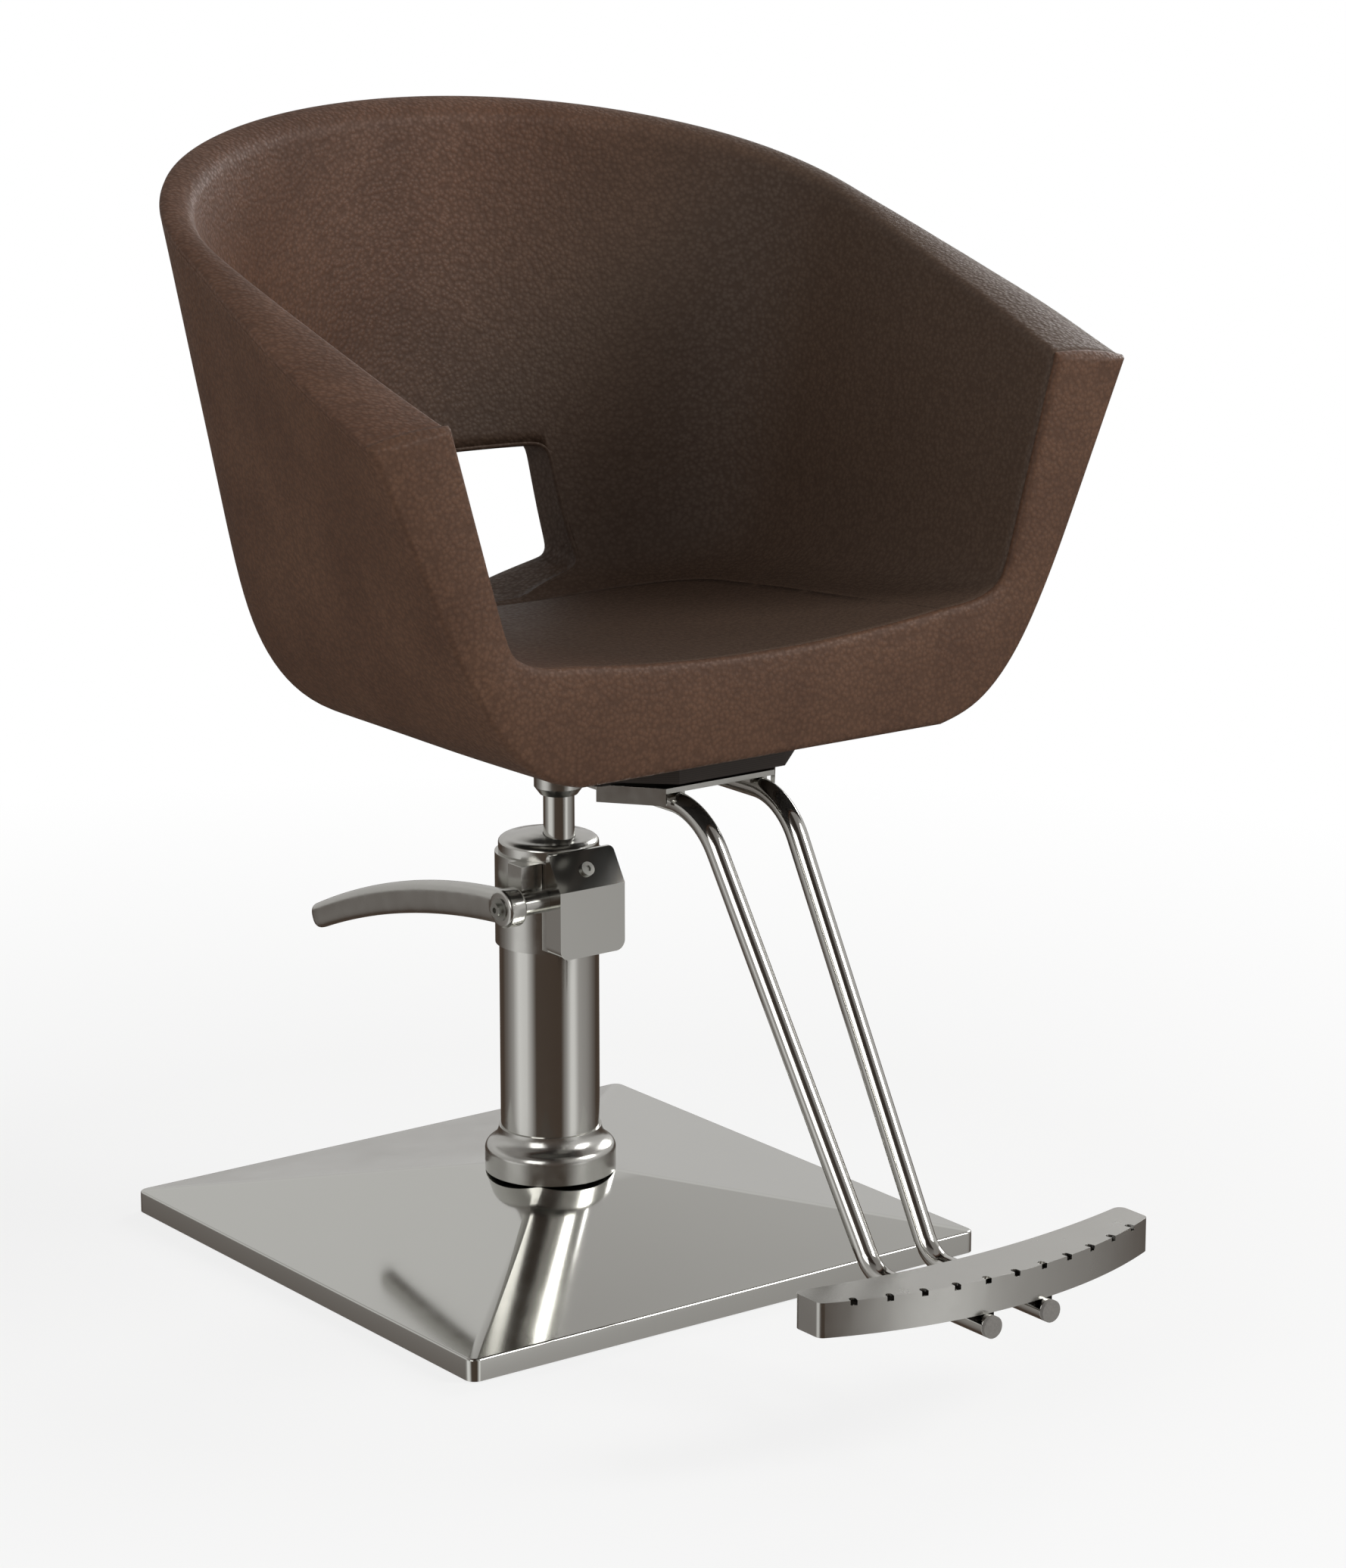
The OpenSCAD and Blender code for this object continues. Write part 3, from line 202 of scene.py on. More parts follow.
def metal(name, colour, roughness, spread=0.04, patch=40, wave=0.0, waveSize=60, streak=None, cut=0.0):
    # patch, wave, wave size and the cut of the streaks are in mm
    material, tree, shader, place = newMaterial(name)
    patches = {"Vector": place, "Scale": 1 / (patch * mm), "Detail": smear["detail"],
               "Roughness": smear["roughness"]}
    smears = addNode(tree, "ShaderNodeTexNoise", patches).outputs["Fac"]
    low, high = smear["range"]
    blur = {"Value": smears, "From Min": low, "From Max": high, "To Min": roughness,
            "To Max": roughness + spread}
    rough = addNode(tree, "ShaderNodeMapRange", blur).outputs[0]
    feed(tree, shader, {"Base Color": srgb(colour), "Metallic": 1.0, "Roughness": rough})
    reliefs = []
    if wave:
        bends = {"Vector": place, "Scale": 1 / (waveSize * mm), "Detail": 1.0}
        reliefs.append((addNode(tree, "ShaderNodeTexNoise", bends).outputs["Fac"], wave))
    if streak:
        turned = addNode(tree, "ShaderNodeMapping", {"Vector": place, "Scale": streak}).outputs[0]
        lines = addNode(tree, "ShaderNodeTexNoise", {"Vector": turned, "Scale": 1.0, "Detail": 3.0})
        reliefs.append((lines.outputs["Fac"], cut))
    under = {}
    for height, depth in reliefs:
        # each relief lies on the one before
        inputs = {"Height": height, "Distance": depth * mm, **under}
        under = {"Normal": addNode(tree, "ShaderNodeBump", inputs).outputs["Normal"]}
    feed(tree, shader, under)
    return material


rubber = {"speckle": 1.2, "depth": 0.05, "paler": 1.5}      # mm, mm, and the speckle's brightness


def mouldedRubber(name, colour, roughness=0.6):
    # compression-moulded rubber, black or grey: dull, with a faint speckle
    material, tree, shader, place = newMaterial(name)
    dots = {"Vector": place, "Scale": 1 / (rubber["speckle"] * mm)}
    speckle = addNode(tree, "ShaderNodeTexNoise", dots).outputs["Fac"]
    paler = [rubber["paler"] * c for c in srgb(colour)[:3]] + [1.0]
    shade = addNode(tree, "ShaderNodeValToRGB", {"Fac": speckle}, stops=[(0.0, srgb(colour)), (1.0, paler)])
    normal = addNode(tree, "ShaderNodeBump", {"Height": speckle, "Distance": rubber["depth"] * mm})
    feed(tree, shader, {"Base Color": shade.outputs["Color"], "Normal": normal.outputs["Normal"],
                        "Roughness": roughness})
    return material


# layers in mm
veneer = {"layer": 1.5, "waver": 1.5, "dark": "#2E2621", "pale": "#3E332B", "roughness": 0.62}


def plywoodLayers(name):
    # birch plywood, stained dark: thin layers with long grain
    material, tree, shader, place = newMaterial(name)
    bands = {"Vector": place, "Scale": 1 / (pi * veneer["layer"] * mm), "Distortion": veneer["waver"]}
    layers = addNode(tree, "ShaderNodeTexWave", bands, bands_direction="Z").outputs["Fac"]
    stains = [(0.0, srgb(veneer["dark"])), (1.0, srgb(veneer["pale"]))]
    shade = addNode(tree, "ShaderNodeValToRGB", {"Fac": layers}, stops=stains).outputs["Color"]
    feed(tree, shader, {"Base Color": shade, "Roughness": veneer["roughness"]})
    return material


# weave and depth in mm
cloth = {"weave": 1.0, "depth": 0.1, "dark": "#231F1D", "pale": "#302B28", "roughness": 0.9}


def wovenDustCloth(name):
    # black lining cloth with a fine weave: flat and dull
    material, tree, shader, place = newMaterial(name)
    threads = {"Vector": place, "Scale": 1 / (cloth["weave"] * mm), "Color1": srgb(cloth["dark"]),
               "Color2": srgb(cloth["pale"])}
    weave = addNode(tree, "ShaderNodeTexChecker", threads)
    raised = {"Height": weave.outputs["Fac"], "Distance": cloth["depth"] * mm}
    normal = addNode(tree, "ShaderNodeBump", raised).outputs["Normal"]
    feed(tree, shader, {"Base Color": weave.outputs["Color"], "Roughness": cloth["roughness"],
                        "Normal": normal})
    return material


# painted shade: the inside's leather greys down into the shadowed bowl, the outside's not at all
outerTone = {"brown": "#5A3E2D", "brownPale": "#674936", "brownDeep": "#3A271C", "roughness": 0.50,
             "paintedShadeMix": 0.0}
innerTone = {"brown": "#5A3D2C", "brownPale": "#694A38", "brownDeep": "#38261B", "roughness": 0.50,
             "paintedShadeMix": 0.85}
outerLeather = pebbledLeather("pebbledCowhideOuter", outerTone)
innerLeather = pebbledLeather("pebbledCowhideInner", innerTone)
# polished chrome mirrors the studio; castings and pressings blur it, and slow waves bend it
coverChrome = metal("polishedChromeCover", "#C9C9C4", 0.07, spread=0.05, patch=120, wave=0.10, waveSize=150)
tubeChrome = metal("polishedChromeTube", "#C6C5C0", 0.08, spread=0.05, patch=25)
castChrome = metal("chromedDieCasting", "#BDBCB7", 0.17, spread=0.10, patch=14, wave=0.25, waveSize=22)
treadChrome = metal("chromedPressing", "#BDBCB7", 0.20, spread=0.08, patch=30, wave=0.2, waveSize=35)
# plain steel, zinc and bronze are duller, and black oxide and rubber swallow the light
turnedSteel = metal("turnedSteel", "#9A9A9A", 0.30, spread=0.1, patch=8, streak=(60, 60, 2500), cut=0.01)
zincScrew = metal("zincPlatedScrew", "#A8A8A2", 0.32, spread=0.1, patch=5)
bronzeBush = metal("castBronze", "#A07F45", 0.35, spread=0.1, patch=6)
blackIron = metal("blackOxidedPlate", "#3B3836", 0.42, spread=0.15, patch=18, wave=0.15, waveSize=8)
rubberBlack = mouldedRubber("mouldedBlackRubber", "#1E1E1E")
rubberGrey = mouldedRubber("mouldedGreyRubber", "#76736F")
# painted shade: a dark metal for the shadowed hollow inside the footplate's pressing
paintedShadeMetal = metal("paintedShadeInside", "#2A2724", 0.5)
plywood = plywoodLayers("birchPlywood")
dustCloth = wovenDustCloth("blackDustCloth")
print("materials made")


# mesh helpers, all in millimetres

def shadeSmooth(data):
    for polygon in data.polygons:
        polygon.use_smooth = True


def meshPiece(name, points, faces, material, body, merge=0.02):
    # merge is in mm
    data = bpy.data.meshes.new(name)
    data.from_pydata((np.asarray(points, float) * mm).tolist(), [], faces)
    shape = bmesh.new()
    shape.from_mesh(data)
    if merge:
        bmesh.ops.remove_doubles(shape, verts=shape.verts, dist=merge * mm)
        bmesh.ops.dissolve_degenerate(shape, edges=shape.edges, dist=0.5 * merge * mm)
    shape.to_mesh(data)
    shape.free()
    shadeSmooth(data)
    obj = newObject(name, data)
    data.materials.append(material)
    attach(obj, body)
    return obj


def turnFaces(data, place=None, axis=0):
    # all faces agree: outward on a closed skin, else the one nearest the place in mm looks along the axis
    shape = bmesh.new()
    shape.from_mesh(data)
    bmesh.ops.recalc_face_normals(shape, faces=shape.faces)
    if place:
        shape.normal_update()
        spot = Vector(place) * mm
        nearest = min(shape.faces, key=lambda face: (face.calc_center_median() - spot).length)
        if nearest.normal[axis] < 0:
            bmesh.ops.reverse_faces(shape, faces=shape.faces)
    shape.to_mesh(data)
    shape.free()


def gridFaces(rows, columns, start=0, wrapRows=False, wrapColumns=False, flip=False):
    faces = []
    for r in range(rows if wrapRows else rows - 1):
        for c in range(columns if wrapColumns else columns - 1):
            here, below = start + r * columns, start + ((r + 1) % rows) * columns
            a, b = here + c, here + (c + 1) % columns
            d, e = below + c, below + (c + 1) % columns
            faces.append((a, d, e, b) if flip else (a, b, e, d))
    return faces


def skinPiece(name, rings, material, body, closed=True):
    # rings of points joined into one skin that looks outward: round in itself, or a bar with flat ends
    net = np.array(rings)
    rows, sides = net.shape[:2]
    faces = gridFaces(rows, sides, wrapRows=closed, wrapColumns=True)
    if not closed:
        faces += [tuple(range(sides))[::-1], tuple((rows - 1) * sides + k for k in range(sides))]
    obj = meshPiece(name, net.reshape(-1, 3), faces, material, body, merge=0)
    turnFaces(obj.data)
    return obj


def useModifier(obj, kind, **settings):
    modifier = obj.modifiers.new(kind.title(), kind)
    for key, value in settings.items():
        setattr(modifier, key, value)


def applyModifiers(obj):
    # the object's mesh becomes what its modifiers make of it
    graph = bpy.context.evaluated_depsgraph_get()
    made = bpy.data.meshes.new_from_object(obj.evaluated_get(graph))
    obj.modifiers.clear()
    old = obj.data
    obj.data = made
    made.name = old.name
    bpy.data.meshes.remove(old)


def unit(vectors):
    return vectors / np.maximum(np.linalg.norm(vectors, axis=-1, keepdims=True), 1e-9)


def bSpline(net, perStep, axis):
    # uniform cubic B-spline along one axis of a net of points; the ends stay where they are
    net = np.moveaxis(net, axis, 0)
    net = np.concatenate([2 * net[:1] - net[1:2], net, 2 * net[-1:] - net[-2:-1]])
    t = (np.arange(perStep) / perStep).reshape((-1,) + (1,) * (net.ndim - 1))
    weights = [(1 - t) ** 3 / 6, (3 * t ** 3 - 6 * t ** 2 + 4) / 6,
               (-3 * t ** 3 + 3 * t ** 2 + 3 * t + 1) / 6, t ** 3 / 6]
    pieces = [sum(w * net[k + j] for j, w in enumerate(weights)) for k in range(len(net) - 3)]
    last = (net[-3] + 4 * net[-2] + net[-1]) / 6
    return np.moveaxis(np.concatenate(pieces + [last[None]]), 0, axis)


# the tub: sizes in millimetres as in the part's source

tub = {
    "front": 277, "bandDepth": 8, "turnY": -5, "undersideZ": 436, "baseZ": 545,
    "tipHalf": 335, "rimHalf": 307, "rimBack": 217,
    "baseTipHalf": 270, "baseHalf": 254, "baseBack": 175,
    "footHalf": 162, "footBack": 90, "tipZ": 690, "rimRise": 0.355, "tipInZ": 698, "rimInRise": 0.33,
    "tipInHalf": 268, "rimInHalf": 282, "rimInBack": 190,
    "baseInTipHalf": 224, "baseInHalf": 226, "baseInBack": 143,
    "padHalf": 163, "padBack": 89, "seatZ": 511, "seatFall": 0.08, "seatDish": 12, "seatCrown": 2,
    "sideSteps": 5, "backSteps": 12, "rowShares": [0, 0.25, 0.5, 0.75, 1, 4 / 3, 5 / 3, 1.93, 2],
    "stationSplit": 6, "rowSplit": 5,
    "rimCrown": 3, "innerCorner": 7, "outerCorner": 3.5, "seamDepth": 3.0, "seamGap": 0.9,
    "innerLift": 0.8, "outerLift": 0.4, "innerSteps": 7, "topSteps": 9, "outerSteps": 6,
    "seamStep": 0.8, "seamTuck": 0.7, "seamLow": 1.0,
    "skin": 2.0,            # leather and its thin foam
    "frontOuterCorner": 7, "frontInnerCorner": 8,
}
wallFront = tub["front"] - tub["bandDepth"]
lastStation = tub["sideSteps"] + tub["backSteps"]
stations = np.arange(-lastStation, lastStation + 1)


def planCurve(frontHalf, sideHalf, back, soft, front):
    # seen from above: from one arm's tip round the back to the other, one point a station
    k = lastStation - np.abs(stations)
    y = -front + (tub["turnY"] + front) * np.minimum(k / tub["sideSteps"], 1)
    t = np.clip((tub["turnY"] - y) / (tub["turnY"] + tub["front"]), 0, None)
    ease = t * t if soft else 1 - (1 - t) ** 2
    angle = np.radians(90 * np.clip(k - tub["sideSteps"], 0, None) / tub["backSteps"])
    x = np.where(k <= tub["sideSteps"], sideHalf + (frontHalf - sideHalf) * ease, sideHalf * np.cos(angle))
    y = np.where(k <= tub["sideSteps"], y, tub["turnY"] + (back - tub["turnY"]) * np.sin(angle))
    return np.stack([np.where(stations < 0, -1, 1) * x, y], -1)


def seatHeight(x, y):
    return tub["seatZ"] - tub["seatFall"] * (y + tub["front"]) + tub["seatDish"] * (x / tub["padHalf"]) ** 2


def wallNet(low, turn, rim, lowZ):
    # rows from the foot round the bend and straight up to the rim
    base = np.concatenate([turn, np.full((len(turn), 1), tub["baseZ"])], 1)
    corner = base + (base - rim) * ((tub["baseZ"] - lowZ) / (rim[:, 2] - tub["baseZ"]))[:, None]
    foot = np.column_stack([low, lowZ])
    bendAt = np.column_stack([corner[:, :2], lowZ])
    rows = []
    for share in tub["rowShares"]:
        if share < 1:
            rows.append((1 - share) ** 2 * foot + 2 * share * (1 - share) * bendAt + share ** 2 * base)
        else:
            rows.append(base + (rim - base) * (share - 1))
    return np.stack(rows, 1)


def rimCurve(plan, z, rise):
    # the rim climbs evenly from the arms' tips to the back
    return np.column_stack([plan, z + rise * (plan[:, 1] + tub["front"])])


def outerNet(front):
    low = planCurve(tub["footHalf"], tub["footHalf"], tub["footBack"], False, front)
    turn = planCurve(tub["baseTipHalf"], tub["baseHalf"], tub["baseBack"], False, front)
    rim = planCurve(tub["tipHalf"], tub["rimHalf"], tub["rimBack"], False, front)
    rim = rimCurve(rim, tub["tipZ"], tub["rimRise"])
    return wallNet(low, turn, rim, np.full(len(low), float(tub["undersideZ"])))


def innerNet(front):
    low = planCurve(tub["padHalf"], tub["padHalf"], tub["padBack"], True, front)
    turn = planCurve(tub["baseInTipHalf"], tub["baseInHalf"], tub["baseInBack"], True, front)
    rim = planCurve(tub["tipInHalf"], tub["rimInHalf"], tub["rimInBack"], True, front)
    rim = rimCurve(rim, tub["tipInZ"], tub["rimInRise"])
    return wallNet(low, turn, rim, seatHeight(low[:, 0], low[:, 1]))


def fine(net):
    return bSpline(bSpline(net, tub["stationSplit"], 0), tub["rowSplit"], 1)


outerWall, innerWall = fine(outerNet(wallFront)), fine(innerNet(wallFront))
print("tub curves worked out:", outerWall.shape)


def roundCorner(start, corner, end, count):
    # steps along a rounded corner between two lines of points
    t = np.linspace(0, 1, count + 1)[:, None, None]
    return (1 - t) ** 2 * start + 2 * t * (1 - t) * corner + t ** 2 * end


def rimRows():
    # from the inner wall's top over the rim to the seam under the outer edge
    n, o = innerWall[:, -1], outerWall[:, -1]
    across = unit(o - n)
    up = np.array([0, 0, 1.0])
    downIn, downOut = unit(innerWall[:, -3] - n), unit(outerWall[:, -3] - o)
    width = np.linalg.norm(o - n, axis=1, keepdims=True)
    inner, outer = tub["innerCorner"], tub["outerCorner"]

    def top(share):
        return n + (o - n) * share + up * 4 * tub["rimCrown"] * share * (1 - share)

    first, last = inner / width, 1 - outer / width
    rows = list(roundCorner(n + downIn * inner, n + up * tub["innerLift"], top(first), tub["innerSteps"]))
    rows += [top(first + (last - first) * s) for s in np.linspace(0, 1, tub["topSteps"])[1:-1]]
    inward = -across
    seam = o + downOut * outer
    rows += list(roundCorner(top(last), o + up * tub["outerLift"], seam, tub["outerSteps"]))
    rows.append(seam + downOut * tub["seamStep"] + inward * tub["seamTuck"])
    rows.append(seam + downOut * tub["seamLow"] + inward * tub["seamDepth"])
    return rows, seam, downOut, inward


rimStack, seamLine, seamDown, seamInward = rimRows()


# waves of the leather over its foam, in mm, and how the seat runs into the walls
inside = {
    "wave": 170, "waveSeed": 3, "waveDepth": 0.9, "stillRows": 6, "columns": 26,
    "softBelow": 560, "softFrom": 12, "passes": 60, "pull": 0.5,
}


def rowsBelow(wall, clear):
    # the wall's rows that stay clear of its top
    rows = [wall[:, k] for k in range(wall.shape[1])]
    return [row for row in rows if np.min(np.linalg.norm(row - rows[-1], axis=1)) > clear]


def surfaceNormals(net):
    return unit(np.cross(np.gradient(net, axis=0), np.gradient(net, axis=1)))


swell = {"waves": 7, "spread": (0.7, 1.5)}      # shares of the size asked for


def softNoise(points, size, seed):
    # smooth changes of a few waves, made from sines with fixed phases
    rng = np.random.default_rng(seed)
    total = np.zeros(points.shape[:-1])
    for _ in range(swell["waves"]):
        direction = unit(rng.normal(size=3))
        wave = rng.uniform(*swell["spread"]) * size
        total += np.sin(points @ direction * 2 * pi / wave + rng.uniform(0, 2 * pi))
    return total / swell["waves"]


def buildInside():
    # inner faces of the walls and the rolled rim, one skin: station, row, xyz
    net = np.stack(rowsBelow(innerWall, tub["innerCorner"] + 1) + rimStack, 1)
    count = net.shape[1]
    normals = surfaceNormals(net)       # towards the cavity on the walls
    fade = np.ones(count)
    fade[-inside["stillRows"]:] = 0
    waves = softNoise(net, inside["wave"], inside["waveSeed"]) * inside["waveDepth"]
    net = net + normals * (waves * fade[None, :])[..., None]
    columns = inside["columns"]
    half = len(net) // 2
    faces = gridFaces(len(net), count, flip=True)
    floorRows = []
    for k in range(half + 1):
        left, right = net[k, 0], net[len(net) - 1 - k, 0]
        s = np.linspace(0, 1, columns + 1)[:, None]
        line = left + (right - left) * s
        width = max(abs(right[0]), 1e-6)
        relative = line[:, 0] / width
        flat = seatHeight(line[:, 0], line[:, 1]) + tub["seatCrown"] * (1 - relative ** 2)
        edge = seatHeight(width, left[1])
        line[:, 2] = flat + (left[2] - edge)
        floorRows.append(line)
    floor = np.stack(floorRows)
    faces += gridFaces(floor.shape[0], columns + 1, start=len(net) * count)
    points = np.concatenate([net.reshape(-1, 3), floor.reshape(-1, 3)])
    obj = meshPiece("tubInside", points, faces, innerLeather, "seat", merge=0.05)
    # the skin faces the sitter, so its thickness goes the other way
    turnFaces(obj.data, (0, -100, 500), 2)
    shape = bmesh.new()
    shape.from_mesh(obj.data)
    low, back = inside["softBelow"] * mm, -(wallFront - inside["softFrom"]) * mm
    soft = [v for v in shape.verts if v.co.z < low and v.co.y > back and not v.is_boundary]
    for _ in range(inside["passes"]):
        bmesh.ops.smooth_vert(shape, verts=soft, factor=inside["pull"], use_axis_x=True, use_axis_y=True,
                              use_axis_z=True)
    shape.to_mesh(obj.data)
    shape.free()
    return obj


tubInside = buildInside()
print("tub inside:", len(tubInside.data.polygons), "faces")


# the outer skin and the band over its front, in mm; the band's section is given as pairs of
# distance from the edge and share of the way from the wall's front to the band's front
outside = {
    "wave": 210, "waveSeed": 8, "waveDepth": 0.8, "stillFoot": 4, "stillRows": 6, "stillEnds": 3,
    "clear": 2.5, "roundDown": 2.0, "roundCorner": 0.2, "roundIn": 1.6, "roundSteps": 3, "tuckDown": 0.8,
    "underY": -60, "hems": (26, 12), "columns": 24,
    "start": [(0, 0.0), (0.15, 0.12)], "outerTurns": [15, 35, 55, 75, 90], "outerShift": 0.15,
    "across": [0.18, 0.34, 0.5, 0.66, 0.82], "innerTurns": [90, 65, 40, 15, 0],
    "tuck": [(0.3, 0.10), (-0.4, -0.15), (-3.0, -0.25)],
    "outerDepth": (0.12, 0.63), "crownDepth": (0.75, 0.25), "crownPower": 0.6, "innerDepth": (0.27, 0.48),
    "closing": [(3.0, 1.0), (2.7, 0.72), (2.1, 0.45), (1.2, 0.2), (0.5, 0.06)],
    "liftShares": (0.35, 3.2), "frontCrownShare": 0.5,
}


def buildOutside():
    # the walls' outer face from the underside to the seam under the rim, and the band over the front
    outer, inner, o = tub["frontOuterCorner"], tub["frontInnerCorner"], outside
    side = rowsBelow(outerWall, tub["outerCorner"] + tub["seamGap"] + o["clear"])
    edge = seamLine + seamDown * tub["seamGap"]
    side += list(roundCorner(edge + seamDown * o["roundDown"], edge + seamDown * o["roundCorner"],
                             edge + seamInward * o["roundIn"], o["roundSteps"]))
    side += [edge + seamInward * tub["seamDepth"] + seamDown * o["tuckDown"]]
    under = np.array([0, o["underY"], tub["undersideZ"]])
    foot = side[0]
    toMiddle = unit((under - foot) * np.array([1, 1, 0]))
    side = [foot + toMiddle * hem for hem in o["hems"]] + side
    net = np.stack(side, 1)
    normals = -surfaceNormals(net)       # away from the wall
    fade = np.ones(net.shape[1])
    fade[:o["stillFoot"]], fade[-o["stillRows"]:] = 0, 0
    ends = np.ones(len(net))
    ends[:o["stillEnds"]] = ends[-o["stillEnds"]:] = 0
    waves = softNoise(net, o["wave"], o["waveSeed"]) * o["waveDepth"]
    net = net + normals * (waves * fade[None, :] * ends[:, None])[..., None]

    # band: at each ring, a section from the outer side over the front to the inner side
    tips = [fine(netAt(at))[[0, -1]] for netAt in (outerNet, innerNet) for at in (wallFront, tub["front"])]

    def ringOf(ob, of, nb, nf, lift=0.0, shut=0.0):
        d = unit(((nf - of) * np.array([1, 0, 1]))[None])[0]
        width = np.linalg.norm(nf - of)
        middleWidth = width - outer - inner
        section = list(o["start"])
        low, rise = o["outerDepth"]
        for a in np.radians(o["outerTurns"]):
            section.append((outer * (1 - cos(a)) + o["outerShift"], low + rise * sin(a)))
        low, rise = o["crownDepth"]
        for s in o["across"]:
            section.append((outer + middleWidth * s, low + rise * sin(pi * s) ** o["crownPower"]))
        low, rise = o["innerDepth"]
        for a in np.radians(o["innerTurns"]):
            section.append((width - inner * (1 - cos(a)), low + rise * sin(a)))
        section += [(width + past, depth) for past, depth in o["tuck"]]
        low, crown = o["liftShares"]
        ring = []
        for inset, depth in section:
            depth = depth * (1 - shut)
            share = min(max(inset / width, 0), 1)
            bp, fp = ob + (nb - ob) * share, of + (nf - of) * share
            p = bp + (fp - bp) * depth
            p = p + np.array([0, 0, 1]) * lift * (low + 4 * tub["rimCrown"] / crown * share * (1 - share))
            if inset > width:
                p = p + d * (inset - width)
            ring.append(p)
        return ring

    def tipRow(arm, k):
        return [tip[arm, k] for tip in tips]

    rows = outerWall.shape[1]
    rings = [ringOf(*tipRow(0, -1), lift, shut) for lift, shut in o["closing"]]
    rings += [ringOf(*tipRow(0, k)) for k in range(rows - 1, -1, -1)]
    for s in np.linspace(-1, 1, o["columns"] + 1)[1:-1]:
        x, xi = tub["footHalf"] * s, tub["padHalf"] * s
        z = tub["undersideZ"]
        ob, of = np.array([x, -wallFront, z]), np.array([x, -tub["front"], z])
        crown = tub["seatCrown"] * (1 - s * s)
        nb = np.array([xi, -wallFront, seatHeight(xi, -wallFront) + crown])
        nf = np.array([xi, -tub["front"], seatHeight(xi, -tub["front"]) + crown * o["frontCrownShare"]])
        rings.append(ringOf(ob, of, nb, nf))
    rings += [ringOf(*tipRow(1, k)) for k in range(rows)]
    rings += [ringOf(*tipRow(1, -1), lift, shut) for lift, shut in o["closing"][::-1]]
    band = np.array(rings)
    points = np.concatenate([net.reshape(-1, 3), band.reshape(-1, 3)])
    faces = gridFaces(*net.shape[:2])
    faces += gridFaces(*band.shape[:2], start=net.shape[0] * net.shape[1], flip=True)
    obj = meshPiece("tubOutside", points, faces, outerLeather, "seat", merge=0.35)
    turnFaces(obj.data, (0, 200, 700), 1)
    return obj


tubOutside = buildOutside()
print("tub outside:", len(tubOutside.data.polygons), "faces")


# the window through the lower back, in mm, a little narrower than the part's source cuts it
window = {
    "lowHalf": 104, "topHalf": 98, "lowZ": 484, "sag": 16, "topZ": 595, "corner": 12, "rayFrom": 400,
    # the trim's lip on the leather, its turn over the edge, its wall through the back, and its hidden side
    "lip": 3.0, "lipRise": 0.25, "lipSunk": 0.3, "crownShare": 0.55, "edge": 0.5, "edgeShare": 0.8,
    "turn": 0.9, "turnDepth": 1.4, "wall": 1.1, "wallDepth": 5, "wallSteps": 6,
    "hidden": 1.6, "hiddenDepth": 4, "evenPasses": 3,
    # the cutter that opens both skins
    "cutFront": 96, "cutBack": 260, "cutMargin": 0.6,
}


def windowOutline(grow=0.0, perArc=8, spacing=6.0):
    # points round the opening, and at each the direction that leads away from it
    w = window
    r, third = w["corner"], w["lowHalf"] / 3
    high, wide = w["topZ"] - r, w["topHalf"] - r
    side, lowWide, low = w["lowZ"] + w["sag"] + r, w["lowHalf"] - r, w["lowZ"] + r
    centres = [(wide, high), (-wide, high), (-lowWide, side), (-third, low), (third, low), (lowWide, side)]
    centres = np.array(centres, float)
    corners = []
    for a, b, c in zip(np.roll(centres, 1, 0), centres, np.roll(centres, -1, 0)):
        first, last = (atan2(-run[0], run[1]) for run in (b - a, c - b))
        if last < first:
            last += 2 * pi
        for angle in np.linspace(first, last, perArc):
            direction = np.array([cos(angle), sin(angle)])
            corners.append((b + direction * (r + grow), direction))
    outline, outward = [], []
    for (p, d), (q, e) in zip(corners, corners[1:] + corners[:1]):
        steps = max(1, int(np.linalg.norm(q - p) / spacing))
        for s in range(steps):
            outline.append(p + (q - p) * s / steps)
            outward.append(d + (e - d) * s / steps)
    return np.array(outline), unit(np.array(outward))


def faceAt(tree, x, z):
    start = Vector((x * mm, window["rayFrom"] * mm, z * mm))
    hit, normal, _, _ = tree.ray_cast(start, Vector((0, -1, 0)))
    return np.array(hit) / mm, np.array(normal)


def lipPoints(hit, normal, away):
    # from the lip's far edge over its crown and round into the opening
    w = window
    along = unit((away - (away @ normal) * normal)[None])[0]
    lip, rise = w["lip"], w["lipRise"]
    return [hit + along * lip - normal * w["lipSunk"],
            hit + along * lip * w["crownShare"] + normal * rise,
            hit + along * w["edge"] + normal * rise * w["edgeShare"],
            hit - away * w["turn"] - normal * w["turnDepth"]]


def buildWindow():
    w = window
    trees = []
    for obj in (tubInside, tubOutside):
        shape = bmesh.new()
        shape.from_mesh(obj.data)
        trees.append(BVHTree.FromBMesh(shape))
        shape.free()
    outline, outward = windowOutline()
    rings = []
    for (x, z), (ox, oz) in zip(outline, outward):
        away = np.array([ox, 0, oz])
        inHit, inNormal = faceAt(trees[0], x, z)
        outHit, outNormal = faceAt(trees[1], x, z)
        near = inHit - away * w["wall"] - inNormal * w["wallDepth"]
        far = outHit - away * w["wall"] - outNormal * w["wallDepth"]
        ring = lipPoints(inHit, inNormal, away)
        ring += [near + (far - near) * s for s in np.linspace(0, 1, w["wallSteps"])]
        ring += lipPoints(outHit, outNormal, away)[::-1]
        ring.append(outHit + away * w["hidden"] - outNormal * w["hiddenDepth"])
        ring.append(inHit + away * w["hidden"] - inNormal * w["hiddenDepth"])
        rings.append(ring)
    net = np.array(rings)
    # even out the ring so that the trim runs smoothly
    for _ in range(w["evenPasses"]):
        net = (np.roll(net, 1, 0) + 2 * net + np.roll(net, -1, 0)) / 4
    return skinPiece("windowTrim", net, innerLeather, "seat")


